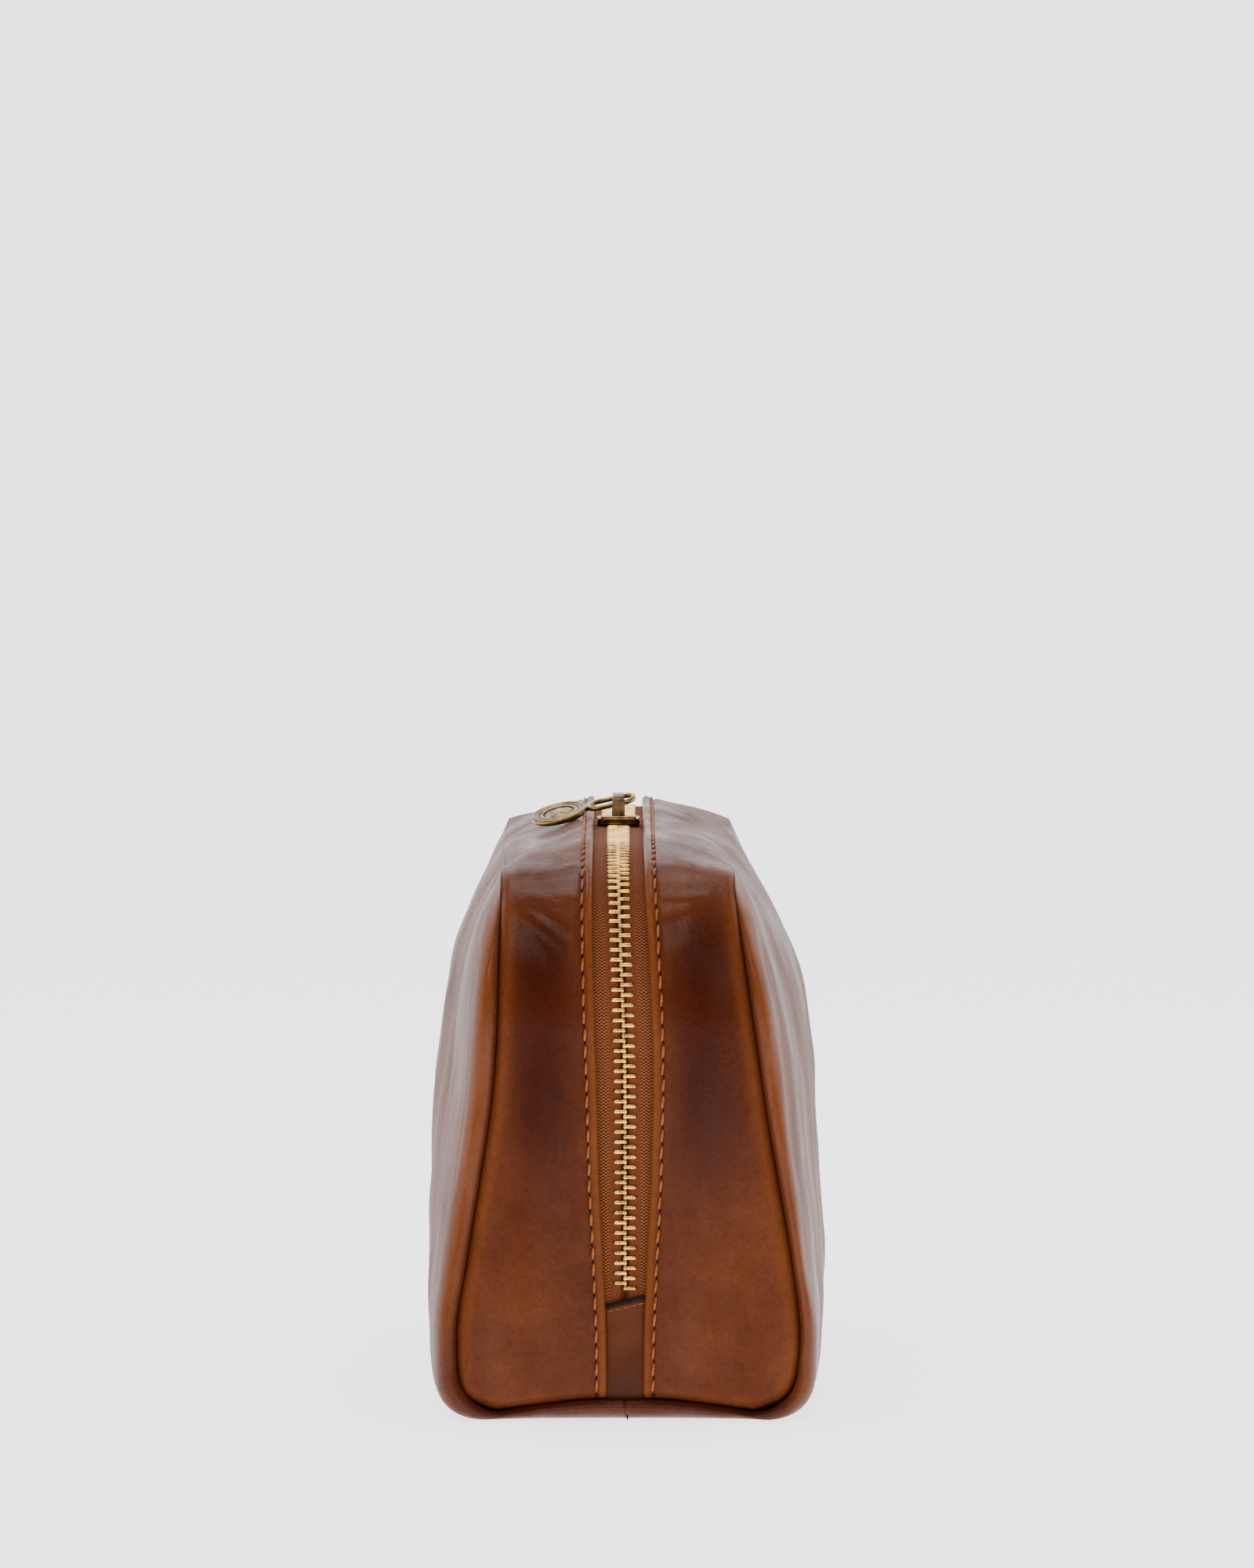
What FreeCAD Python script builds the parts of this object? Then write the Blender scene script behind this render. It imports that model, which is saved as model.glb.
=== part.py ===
"""A zip-top leather wash bag: glazed leather halves, lining, brass zip, slider and medallion pull.

Millimetres. X is the width, Y the length (the end with the zip's bottom stop is at -Y), Z is up.
The origin is under the middle of the bag, on the surface that it stands on.
"""
import FreeCAD
import Part
import math
import os

from FreeCAD import Vector

# Overall size
HALF_LENGTH = 125.0        # to the outer face of each end
HEM_TOP_Z = 149.3          # top of the leather beside the zip
STRETCH = 200.0            # reach of cutting prisms, well past the bag

# Sheet thicknesses, and how far each layer lies inside the leather's outer face
LEATHER = 1.6
TAPE_INSET = 3.0
TAPE = 0.6
LINING_INSET = 3.9
LINING = 0.8
POCKET_INSET = 5.0
POCKET = 0.8
PANEL_GAP = 0.15           # half the gap between neighbouring panels

# Cross-sections: half widths of the bag at five heights
HEIGHTS = {"base": 10.0, "belly": 62.0, "shoulder": 115.0, "crown": 137.0, "brow": 143.2}
MIDDLE = {"base": 51.0, "belly": 51.8, "shoulder": 44.4, "crown": 35.5, "brow": 28.0}
END = {"base": 49.5, "belly": 45.2, "shoulder": 38.8, "crown": 31.5, "brow": 25.5}
END_Y = HALF_LENGTH - 8.0  # where the rounding towards the end face begins
CAP_RUN = 10.0             # length of the rounding, cut off by the end face
CAP_SHRINK = 7.0           # how much each side draws in over that length
BASE_RADIUS = 10.0
BASE_CUT = 0.4             # sliced off the rounded base, to leave it flat

# Zip: two rows of teeth on a tape that runs up one end, over the top and down the other
ZIP_END_Y = HALF_LENGTH - TAPE_INSET   # outer face of the tape on the ends
ZIP_TOP_Z = HEM_TOP_Z - TAPE_INSET
ZIP_BENDS = [(95.0, 20.0), (22.0, 40.0), (60.0, 30.0)]   # radius and turn, from the top to the end
ZIP_SLOT = 6.5             # half width between the leather hems
TAPE_FOOT_Z = 8.0
TAPE_HALF = 10.2           # from the zip's middle to the outer edge of a tape
TAPE_EDGE = 1.9            # from the zip's middle to the inner edge of a tape, teeth meshed
PARTED = 1.7               # how far each row stands out where the zip is open
TOOTH_PITCH = 2.62
TOOTH_LENGTH = 1.15        # along the zip
TOOTH_HEIGHT = 2.3         # across the tape
TOOTH_REACH = 0.9          # past the zip's middle, between the teeth of the other row
TOOTH_BACK = 3.0
CHAIN_FOOT_Z = 37.4        # lowest tooth
STOP_Z = (29.0, 32.4)
SLOT_FOOT_Z = 5.5

# End panel seam, half outline from the top down
SEAM = {"crown": (30.6, 137.0), "side": (35.6, 80.0), "hip": (44.3, 20.0), "foot": (35.0, 5.5)}
SEAM_FOOT_RADIUS_POINT = (42.0, 9.6)

# Top flaps that fold back from a line along each top corner
FOLD = (35.7, 137.1)       # place of the fold line in a cross-section
FOLD_SLOPE = 0.6           # of the parting face, from the fold line inwards and down

# Leather tab that closes each foot of the zip
TAB_HALF = 6.2
TAB_Z = (6.1, 33.0)
TAB_THICK = 2.0
TAB_LIFT = 0.15

# Base board and pocket
BOARD_HALF = (36.0, 106.0)
BOARD_Z = (1.9, 3.6)
POCKET_HALF_LENGTH = 68.0
POCKET_Z = (26.0, 92.0)
POCKET_BAND = 8.0

# Slider
SLIDER_Y = -4.0
SLIDER_HALF = (5.75, 6.0)
SLIDER_GAP = 1.35          # from the tape's middle plane to each plate
PLATE = 1.35
FLANGE = 0.7
FLANGE_GAP = 0.55          # half the slot that the tape runs through
NECK = (1.2, 3.5)
BRIDGE_HALF = 1.5
BRIDGE_THICK = 0.9
BRIDGE_TOP_Z = 155.1
BRIDGE_Y = (-8.6, 0.1)

# Pull: a slotted link round the bridge's rear leg, and a round medallion
PULL_Z = 152.8
PULL_DROP = 12.6           # degrees, down towards the medallion
PULL_TILT = 14.0           # degrees, down towards the front
LINK_INNER = 2.1
LINK_OUTER = 3.4
LINK_THICK = 1.4
LINK_ENDS = (-5.35, 1.5)   # centres of the slot's round ends, from the pivot
ARM_HALF = 2.0
MEDAL_REACH = 16.3         # from the pivot to the medallion's centre
MEDAL_RADIUS = 7.5
MEDAL_THICK = 1.6
MEDAL_STEP = 0.45

TAPE_MID_Z = ZIP_TOP_Z - TAPE / 2.0
LEFT, RIGHT = -1, 1
FRONT, REAR = -1, 1


def box(x, y, z):
    """A box from three (low, high) pairs."""
    size = [high - low for low, high in (x, y, z)]
    return Part.makeBox(size[0], size[1], size[2], Vector(x[0], y[0], z[0]))


def mirrored(shape, side):
    """The shape as drawn for +X, or its mirror image for the left side."""
    return shape if side == RIGHT else shape.mirror(Vector(0, 0, 0), Vector(1, 0, 0))


def arc(start, middle, end):
    return Part.Arc(start, middle, end).toShape()


def line(start, end):
    return Part.LineSegment(start, end).toShape()


# ---------------------------------------------------------------- the bag's form

def section(widths, y, inset):
    """Closed outline of the bag's cross-section at y, moved in by inset on every side."""
    brow_slope = (HEM_TOP_Z - HEIGHTS["brow"]) / (widths["brow"] - ZIP_SLOT)
    peak = HEIGHTS["brow"] + brow_slope * widths["brow"]
    radius = BASE_RADIUS - inset * 0.6
    base_x = widths["base"] - inset
    base_z = inset - BASE_CUT
    bulge = radius * (1 - math.sqrt(0.5))
    half = [
        (base_x - radius, base_z),
        (base_x - bulge, base_z + bulge),
        (base_x, base_z + radius),
        (widths["belly"] - inset, HEIGHTS["belly"]),
        (widths["shoulder"] - inset, HEIGHTS["shoulder"] - 0.15 * inset),
        (widths["crown"] - 0.9 * inset, HEIGHTS["crown"] - 0.5 * inset),
        ((widths["crown"] + widths["brow"]) / 2.0 + 0.9 - 0.75 * inset,
         (HEIGHTS["crown"] + HEIGHTS["brow"]) / 2.0 + 0.6 - 0.75 * inset),
        (widths["brow"] - 0.35 * inset, HEIGHTS["brow"] - inset),
        (0.0, peak - 1.05 * inset),
    ]
    right = [Vector(x, y, z) for x, z in half]
    left = [Vector(-x, y, z) for x, z in half]
    edges = [
        line(left[0], right[0]),
        arc(right[0], right[1], right[2]),
        arc(right[2], right[3], right[4]),
        line(right[4], right[5]),
        arc(right[5], right[6], right[7]),
        line(right[7], right[8]),
        line(left[8], left[7]),
        arc(left[7], left[6], left[5]),
        line(left[5], left[4]),
        arc(left[4], left[3], left[2]),
        arc(left[2], left[1], left[0]),
    ]
    return Part.Wire(edges)


def zip_bend_points(offset):
    """Points along the front half of the zip's path, moved out by offset: bends as (mid, end)."""
    run = sum(radius * (math.sin(math.radians(b)) - math.sin(math.radians(a)))
              for radius, a, b in bend_angles())
    y = -(ZIP_END_Y - run)
    points = [(y, ZIP_TOP_Z + offset)]
    z = ZIP_TOP_Z
    for radius, start, end in bend_angles():
        centre = (y + radius * math.sin(math.radians(start)), z - radius * math.cos(math.radians(start)))
        for angle in ((start + end) / 2.0, end):
            reach = radius + offset
            points.append((centre[0] - reach * math.sin(math.radians(angle)),
                           centre[1] + reach * math.cos(math.radians(angle))))
        y = centre[0] - radius * math.sin(math.radians(end))
        z = centre[1] + radius * math.cos(math.radians(end))
    return points


def bend_angles():
    """Radius, start and end angle of each bend, measured from the flat top."""
    angles = []
    start = 0.0
    for radius, turn in ZIP_BENDS:
        angles.append((radius, start, start + turn))
        start += turn
    return angles


def side_profile(offset, foot):
    """Prism of the bag's side view: up the front, over the top and down the rear."""
    bends = zip_bend_points(offset)
    front = [Vector(-STRETCH / 2.0, y, z) for y, z in bends]
    rear = [Vector(-STRETCH / 2.0, -y, z) for y, z in bends]
    edges = [line(rear[0], front[0])]
    for points in (front, rear):
        for index in range(0, len(points) - 1, 2):
            edges.append(arc(points[index], points[index + 1], points[index + 2]))
    front_foot = Vector(-STRETCH / 2.0, front[-1].y, foot)
    rear_foot = Vector(-STRETCH / 2.0, rear[-1].y, foot)
    edges += [line(front[-1], front_foot), line(front_foot, rear_foot), line(rear_foot, rear[-1])]
    wire = Part.Wire(Part.__sortEdges__(edges))
    return Part.Face(wire).extrude(Vector(STRETCH, 0, 0))


def form(inset):
    """The bag's solid form, moved in by inset on every side."""
    belly = Part.makeLoft([section(END, -END_Y, inset), section(MIDDLE, 0.0, inset),
                           section(END, END_Y, inset)], True, False)
    caps = [Part.makeLoft([section(END, side * END_Y, inset),
                           section(END, side * (END_Y + CAP_RUN), inset + CAP_SHRINK)], True, True)
            for side in (FRONT, REAR)]
    whole = belly.fuse(caps).removeSplitter()
    return whole.common(side_profile(TAPE_INSET - inset, inset))


def layer(inset, thickness):
    """A closed skin of the given thickness, inset from the bag's outer face."""
    return form(inset).cut(form(inset + thickness))


# ---------------------------------------------------------------- cutting prisms

def run_half():
    """Half the length of the zip's straight run along the top."""
    return -zip_bend_points(0.0)[0][0]


def end_prism(side, gap):
    """Prism inside the end panel's seam, grown or shrunk by gap, from the end to the top flaps."""
    crown = Vector(SEAM["crown"][0] + gap, 0, SEAM["crown"][1])
    middle = Vector(SEAM["side"][0] + gap, 0, SEAM["side"][1])
    hip = Vector(SEAM["hip"][0] + gap, 0, SEAM["hip"][1])
    turn = Vector(SEAM_FOOT_RADIUS_POINT[0] + gap, 0, SEAM_FOOT_RADIUS_POINT[1] - gap)
    foot = Vector(SEAM["foot"][0], 0, SEAM["foot"][1] - gap)
    top = Vector(crown.x, 0, STRETCH)
    corners = [Vector(-p.x, 0, p.z) for p in (crown, middle, hip, turn, foot, top)]
    edges = [line(foot, corners[4]), arc(foot, turn, hip), arc(hip, middle, crown), line(crown, top),
             line(top, corners[5]), line(corners[5], corners[0]),
             arc(corners[0], corners[1], corners[2]), arc(corners[2], corners[3], corners[4])]
    face = Part.Face(Part.Wire(Part.__sortEdges__(edges)))
    inner = run_half() - gap
    prism = face.extrude(Vector(0, STRETCH, 0))
    prism.translate(Vector(0, inner if side == REAR else -inner - STRETCH, 0))
    return prism


def flap_prism(side, gap):
    """Prism that holds one top flap: above the parting face, between the bends of the zip."""
    outer = 60.0
    rise = gap * math.hypot(1.0, FOLD_SLOPE)
    fold_z = [FOLD[1] + FOLD_SLOPE * (x - FOLD[0]) - rise for x in (0.0, outer)]
    corners = [Vector(0, 0, fold_z[0]), Vector(outer, 0, fold_z[1]),
               Vector(outer, 0, STRETCH), Vector(0, 0, STRETCH)]
    face = Part.Face(Part.makePolygon(corners + corners[:1]))
    half = run_half() + gap
    prism = face.extrude(Vector(0, 2 * half, 0))
    prism.translate(Vector(0, -half, 0))
    return mirrored(prism, side)


def half_space(side, gap):
    """Everything on one side of the middle plane."""
    return mirrored(box((gap, STRETCH), (-STRETCH, STRETCH), (-STRETCH, STRETCH)), side)


def slot(half, foot):
    """The opening between the hems, from its foot on the front, over the top, to the rear."""
    return box((-half, half), (-STRETCH, STRETCH), (foot, STRETCH))


# ---------------------------------------------------------------- leather and lining

def panels(skin, slot_half, base_top):
    """Cut a skin into sides, base, ends and top flaps, by name."""
    ends = {side: end_prism(side, -PANEL_GAP) for side in (FRONT, REAR)}
    ends_hole = end_prism(FRONT, PANEL_GAP).fuse(end_prism(REAR, PANEL_GAP))
    flaps_hole = flap_prism(LEFT, PANEL_GAP).fuse(flap_prism(RIGHT, PANEL_GAP))
    opening = slot(slot_half, SLOT_FOOT_Z - PANEL_GAP)
    open_skin = skin.cut(opening)
    shell = skin.cut(ends_hole)
    cut_off = box((-STRETCH, STRETCH), (-STRETCH, STRETCH), (-STRETCH, base_top - PANEL_GAP))
    keep_off = box((-STRETCH, STRETCH), (-STRETCH, STRETCH), (base_top + PANEL_GAP, STRETCH))
    pieces = {"base": shell.common(cut_off)}
    walls = shell.common(keep_off).cut(flaps_hole)
    for side, name in ((LEFT, "left"), (RIGHT, "right")):
        pieces[name + "_side"] = walls.common(half_space(side, slot_half))
        pieces[name + "_top"] = open_skin.common(flap_prism(side, -PANEL_GAP))
        for end, end_name in ((FRONT, "front"), (REAR, "rear")):
            piece = open_skin.common(ends[end]).common(half_space(side, 0.0))
            pieces[end_name + "_" + name + "_end"] = piece
    return pieces


def leather_panels():
    cut = panels(layer(0.0, LEATHER), ZIP_SLOT, SLOT_FOOT_Z)
    parts = {}
    for side, name in ((LEFT, "left"), (RIGHT, "right")):
        parts[name + "_side_panel"] = cut[name + "_side"]
        parts[name + "_base_panel"] = cut["base"].common(half_space(side, PANEL_GAP))
        parts[name + "_top_panel"] = cut[name + "_top"]
        for end in ("front", "rear"):
            parts[end + "_" + name + "_end_panel"] = cut[end + "_" + name + "_end"]
    return parts


def lining_panels():
    cut = panels(layer(LINING_INSET, LINING), ZIP_SLOT, SLOT_FOOT_Z + LINING_INSET)
    parts = {"base_lining": cut["base"]}
    for name in ("left", "right"):
        parts[name + "_side_lining"] = cut[name + "_side"]
        parts[name + "_top_lining"] = cut[name + "_top"]
        for end in ("front", "rear"):
            parts[end + "_" + name + "_end_lining"] = cut[end + "_" + name + "_end"]
    return parts


def base_board():
    return box((-BOARD_HALF[0], BOARD_HALF[0]), (-BOARD_HALF[1], BOARD_HALF[1]), BOARD_Z)


def pocket():
    """A flat slip pocket on the left wall, and the band along its mouth."""
    length = (-POCKET_HALF_LENGTH, POCKET_HALF_LENGTH)
    skin = layer(POCKET_INSET, POCKET)
    sheet = skin.common(box((-STRETCH, 0), length, POCKET_Z))
    band_z = (POCKET_Z[1] + PANEL_GAP, POCKET_Z[1] + POCKET_BAND)
    band = skin.common(box((-STRETCH, 0), length, band_z))
    return {"slip_pocket": sheet, "pocket_band": band}


# ---------------------------------------------------------------- zip

def zip_frame(distance):
    """Place on the tape's middle plane, and turn about X, at a distance from the top's centre.

    Distances grow towards the front; the rear half mirrors the front half.
    """
    side = 1.0 if distance >= 0 else -1.0
    left = abs(distance)
    flat = run_half()
    y, z, angle = -min(left, flat), TAPE_MID_Z, 0.0
    left -= flat
    for radius, start, end in bend_angles():
        if left <= 0:
            break
        bend = radius - TAPE / 2.0
        turn = min(math.degrees(left / bend), end - start)
        stop = start + turn
        y -= bend * (math.sin(math.radians(stop)) - math.sin(math.radians(start)))
        z -= bend * (math.cos(math.radians(start)) - math.cos(math.radians(stop)))
        angle = stop
        left -= bend * math.radians(end - start)
    if left > 0:
        z -= left
    return Vector(0, side * y, z), side * angle


def zip_length():
    """Distance from the top's centre to the lowest tooth."""
    bends = sum((radius - TAPE / 2.0) * math.radians(turn) for radius, turn in ZIP_BENDS)
    drop = zip_bend_points(0.0)[-1][1] - CHAIN_FOOT_Z
    return run_half() + bends + drop


def tape(side, start, end, foot, edge):
    """Tape between two y stations on one side of the zip."""
    band = side_profile(0.0, foot).cut(side_profile(-TAPE, -STRETCH))
    return band.common(mirrored(box((edge, TAPE_HALF), (start, end), (foot, STRETCH)), side))


def top_tape(side):
    """The straight tape on a top flap, whose inner edge steps out where the zip is open."""
    half = run_half() - PANEL_GAP
    step_y = SLIDER_Y - TOOTH_LENGTH / 2.0
    corners = [(TAPE_EDGE, -half), (TAPE_EDGE, step_y), (TAPE_EDGE + PARTED, step_y),
               (TAPE_EDGE + PARTED, half), (TAPE_HALF, half), (TAPE_HALF, -half)]
    points = [Vector(x, y, ZIP_TOP_Z - TAPE) for x, y in corners]
    strip = Part.Face(Part.makePolygon(points + points[:1])).extrude(Vector(0, 0, TAPE))
    return mirrored(strip, side)


def tooth(side, shift):
    """One tooth at the origin of a zip frame: a head, and two jaws over the tape's edge."""
    high = TOOTH_HEIGHT / 2.0
    jaw = TAPE / 2.0 + PANEL_GAP
    root = TAPE_EDGE - 0.1
    corners = [(-TOOTH_REACH, -high), (TOOTH_BACK, -high), (TOOTH_BACK, -jaw), (root, -jaw),
               (root, jaw), (TOOTH_BACK, jaw), (TOOTH_BACK, high), (-TOOTH_REACH, high)]
    points = [Vector(x + shift, -TOOTH_LENGTH / 2.0, z) for x, z in corners]
    solid = Part.Face(Part.makePolygon(points + points[:1])).extrude(Vector(0, TOOTH_LENGTH, 0))
    return mirrored(solid, side)


def teeth(side, first, last):
    """A row of teeth between two distances along the zip; the two rows sit half a pitch apart."""
    row = []
    phase = 0.0 if side == LEFT else 0.5
    most = int(2 * STRETCH / TOOTH_PITCH)
    for index in range(-most, most):
        distance = (index + phase) * TOOTH_PITCH
        if first <= distance <= last:
            shift = 0.0 if distance > -SLIDER_Y + TOOTH_LENGTH / 2.0 else PARTED
            place, angle = zip_frame(distance)
            solid = tooth(side, shift)
            solid.rotate(Vector(0, 0, 0), Vector(1, 0, 0), angle)
            solid.translate(place)
            row.append(solid)
    return Part.makeCompound(row)


def zip_parts():
    parts = {}
    flat = run_half()
    margin = TOOTH_LENGTH
    length = zip_length()
    for side, name in ((LEFT, "left"), (RIGHT, "right")):
        parts[name + "_top_tape"] = top_tape(side)
        parts[name + "_top_teeth"] = teeth(side, -flat + margin, flat - margin)
        parts["front_" + name + "_tape"] = tape(side, -STRETCH, -flat - PANEL_GAP, TAPE_FOOT_Z, TAPE_EDGE)
        parts["rear_" + name + "_tape"] = tape(side, flat + PANEL_GAP, STRETCH, TAPE_FOOT_Z,
                                               TAPE_EDGE + PARTED)
        parts["front_" + name + "_teeth"] = teeth(side, flat + margin, length)
        parts["rear_" + name + "_teeth"] = teeth(side, -length, -flat - margin)
    parts["bottom_stop"] = bottom_stop()
    parts["top_stops"] = Part.makeCompound([stop_clip(side) for side in (LEFT, RIGHT)])
    return parts


def bottom_stop():
    """The stop that joins both tapes at the front: two plates with the tapes' edges between them."""
    half = TAPE_EDGE + 1.0
    inner = ZIP_END_Y - TAPE
    block = box((-half, half), (-ZIP_END_Y - 0.9, -inner + 0.9), STOP_Z)
    for side in (LEFT, RIGHT):
        edge = sorted((side * (TAPE_EDGE - 0.1), side * STRETCH))
        block = block.cut(box(edge, (-ZIP_END_Y - 0.1, -inner + 0.1), (0, STRETCH)))
    return block


def stop_clip(side):
    """A stop on one tape of the open end: a small clip over the tape's inner edge."""
    edge = TAPE_EDGE + PARTED
    inner = ZIP_END_Y - TAPE
    clip = box((edge - 1.0, edge + 1.2), (inner - 0.9, ZIP_END_Y + 0.9), STOP_Z)
    clip = clip.cut(box((edge - 0.1, edge + 2.0), (inner - 0.1, ZIP_END_Y + 0.1), (0, STRETCH)))
    return mirrored(clip, side)


def zip_tab(end):
    """Leather tab over the foot of the zip, hollowed behind where the stop lies."""
    y = sorted((end * (ZIP_END_Y + TAB_LIFT), end * (ZIP_END_Y + TAB_LIFT + TAB_THICK)))
    tab = box((-TAB_HALF, TAB_HALF), y, TAB_Z)
    hollow = sorted((end * ZIP_END_Y, end * (ZIP_END_Y + 1.1)))
    return tab.cut(box((-TAB_HALF + 0.8, TAB_HALF - 0.8), hollow, (STOP_Z[0] - 0.6, STRETCH)))


# ---------------------------------------------------------------- slider and pull

def slider_body():
    """Two plates joined by a neck, with flanges that leave a slot for each tape."""
    half_x, half_y = SLIDER_HALF
    front, rear = SLIDER_Y - half_y, SLIDER_Y + half_y
    low = TAPE_MID_Z - SLIDER_GAP
    high = TAPE_MID_Z + SLIDER_GAP
    outline = [(-half_x, front + 1.2), (-half_x + 1.6, front), (half_x - 1.6, front),
               (half_x, front + 1.2), (half_x, rear - 3.0), (half_x - 1.4, rear),
               (-half_x + 1.4, rear), (-half_x, rear - 3.0)]
    points = [Vector(x, y, 0) for x, y in outline]
    plate = Part.Face(Part.makePolygon(points + points[:1])).extrude(Vector(0, 0, PLATE))
    upper = plate.translated(Vector(0, 0, high))
    upper = upper.makeFillet(0.5, [e for e in upper.Edges if flat_at(e, high + PLATE)])
    lower = plate.translated(Vector(0, 0, low - PLATE))
    lower = lower.makeFillet(0.5, [e for e in lower.Edges if flat_at(e, low - PLATE)])
    body = upper.fuse(lower)
    length = (front + 1.3, rear - 3.2)
    for side in (LEFT, RIGHT):
        across = sorted((side * (half_x - FLANGE), side * (half_x - 0.02)))
        body = body.fuse(box(across, length, (TAPE_MID_Z + FLANGE_GAP, high + 0.3)))
        body = body.fuse(box(across, length, (low - 0.3, TAPE_MID_Z - FLANGE_GAP)))
    neck = box((-NECK[0] / 2.0, NECK[0] / 2.0), (rear - 0.6 - NECK[1], rear - 0.6), (low - 0.3, high + 0.3))
    return body.fuse(neck).removeSplitter()


def flat_at(edge, z):
    """Whether an edge lies wholly at one height."""
    return all(abs(vertex.Z - z) < 1e-6 for vertex in edge.Vertexes)


def slider_bridge():
    """The arch over the top plate that holds the pull: two legs and a bowed strap."""
    foot = TAPE_MID_Z + SLIDER_GAP + PLATE
    front, rear = BRIDGE_Y
    crown = BRIDGE_TOP_Z
    knee = crown - 1.3
    outer = [Vector(0, front, foot), Vector(0, front, knee), Vector(0, front + 1.4, crown),
             Vector(0, rear - 1.4, crown), Vector(0, rear, knee), Vector(0, rear, foot)]
    thick = BRIDGE_THICK
    inner = [Vector(0, rear - thick, foot), Vector(0, rear - thick, knee - 0.3),
             Vector(0, rear - 1.8, crown - thick), Vector(0, front + 1.8, crown - thick),
             Vector(0, front + thick, knee - 0.3), Vector(0, front + thick, foot)]
    points = outer + inner
    strap = Part.Face(Part.makePolygon(points + points[:1])).extrude(Vector(2 * BRIDGE_HALF, 0, 0))
    strap.translate(Vector(-BRIDGE_HALF, 0, 0))
    return strap


def pull_pivot():
    """Middle of the bridge's rear leg, at the height where the link rests."""
    return Vector(0, BRIDGE_Y[1] - BRIDGE_THICK / 2.0, PULL_Z)


def place_pull(shape):
    """Move a shape drawn flat, with the medallion towards -X, to where the pull lies."""
    shape.rotate(Vector(0, 0, 0), Vector(1, 0, 0), PULL_TILT)
    shape.rotate(Vector(0, 0, 0), Vector(0, 1, 0), -PULL_DROP)
    shape.translate(pull_pivot())
    return shape


def capsule(start, end, radius, thickness):
    """A flat bar along X with round ends, centred on z = 0."""
    low = -thickness / 2.0
    bar = box((start, end), (-radius, radius), (low, -low))
    for x in (start, end):
        bar = bar.fuse(Part.makeCylinder(radius, thickness, Vector(x, 0, low)))
    return bar.removeSplitter()


def medallion_pull():
    """One casting: a slotted link, a short arm and a medallion with a stepped rim."""
    ring = capsule(LINK_ENDS[0], LINK_ENDS[1], LINK_OUTER, LINK_THICK)
    gap = capsule(LINK_ENDS[0], LINK_ENDS[1], LINK_INNER, 3 * LINK_THICK)
    arm_ends = (-MEDAL_REACH + MEDAL_RADIUS - 1.5, LINK_ENDS[0] - LINK_INNER - 0.4)
    arm = box(arm_ends, (-ARM_HALF, ARM_HALF), (-LINK_THICK / 2.0, LINK_THICK / 2.0))
    foot = Vector(-MEDAL_REACH, 0, -MEDAL_THICK / 2.0)
    step = Vector(0, 0, MEDAL_STEP)
    disc = Part.makeCylinder(MEDAL_RADIUS - MEDAL_STEP, MEDAL_THICK, foot)
    disc = disc.fuse(Part.makeCylinder(MEDAL_RADIUS, MEDAL_THICK - 2 * MEDAL_STEP, foot + step))
    pull = ring.cut(gap).fuse([arm, disc]).removeSplitter()
    return place_pull(pull)


# ---------------------------------------------------------------- output

def build():
    parts = {}
    parts.update(leather_panels())
    parts.update(lining_panels())
    parts.update(pocket())
    parts.update(zip_parts())
    parts["base_board"] = base_board()
    parts["front_zip_tab"] = zip_tab(FRONT)
    parts["rear_zip_tab"] = zip_tab(REAR)
    parts["slider_body"] = slider_body()
    parts["slider_bridge"] = slider_bridge()
    parts["medallion_pull"] = medallion_pull()
    return parts


def export(parts):
    os.makedirs("parts", exist_ok=True)
    for name, shape in parts.items():
        shape.exportStep(os.path.join("parts", name + ".step"))
        print(name, "solids", len(shape.Solids), "volume", round(shape.Volume, 1), "valid", shape.isValid())


export(build())
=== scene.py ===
"""A glazed leather wash bag with a brass zip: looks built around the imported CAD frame.

Shapes are worked out in millimetres in the CAD's frame and turned into metres when a mesh is made.
The bag is two mirrored leather halves that meet along the zip. Each half is two grids: a strip that
follows the zip from one foot, over the top, to the other, and a wall from the base up to the crown.
"""
import math

import bmesh
import bpy
import numpy as np
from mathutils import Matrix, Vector

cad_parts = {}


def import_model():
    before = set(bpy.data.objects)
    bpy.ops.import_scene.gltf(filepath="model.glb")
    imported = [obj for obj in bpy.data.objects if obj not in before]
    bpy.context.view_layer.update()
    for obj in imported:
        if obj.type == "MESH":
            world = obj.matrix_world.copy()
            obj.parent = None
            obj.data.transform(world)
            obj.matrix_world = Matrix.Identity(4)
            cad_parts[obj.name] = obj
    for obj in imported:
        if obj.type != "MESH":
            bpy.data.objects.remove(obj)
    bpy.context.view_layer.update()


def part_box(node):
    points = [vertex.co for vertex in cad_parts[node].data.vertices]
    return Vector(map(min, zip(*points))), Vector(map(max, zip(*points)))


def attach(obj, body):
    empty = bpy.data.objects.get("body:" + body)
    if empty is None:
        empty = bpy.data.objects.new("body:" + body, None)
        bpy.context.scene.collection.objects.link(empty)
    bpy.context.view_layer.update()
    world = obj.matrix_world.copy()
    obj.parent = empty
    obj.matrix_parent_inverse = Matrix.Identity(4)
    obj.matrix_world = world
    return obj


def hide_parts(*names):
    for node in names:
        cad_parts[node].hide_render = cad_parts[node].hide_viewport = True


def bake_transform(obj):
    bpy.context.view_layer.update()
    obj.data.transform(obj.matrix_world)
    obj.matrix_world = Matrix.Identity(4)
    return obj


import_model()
MM = 0.001
LEFT, RIGHT = -1.0, 1.0
SIDES = ((LEFT, "left"), (RIGHT, "right"))
ENDS = ((-1.0, "front"), (1.0, "rear"))
MIDDLE = np.array([0.0, 0.0, 70.0])     # a place inside the bag, to tell in from out
FAR = 60.0                              # beyond the reach of anything that fades with distance


def node_box(name):
    """A CAD node's low and high corners in millimetres."""
    low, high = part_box(name)
    return np.array(low) / MM, np.array(high) / MM


# ---------------------------------------------------------------- the zip's path

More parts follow.
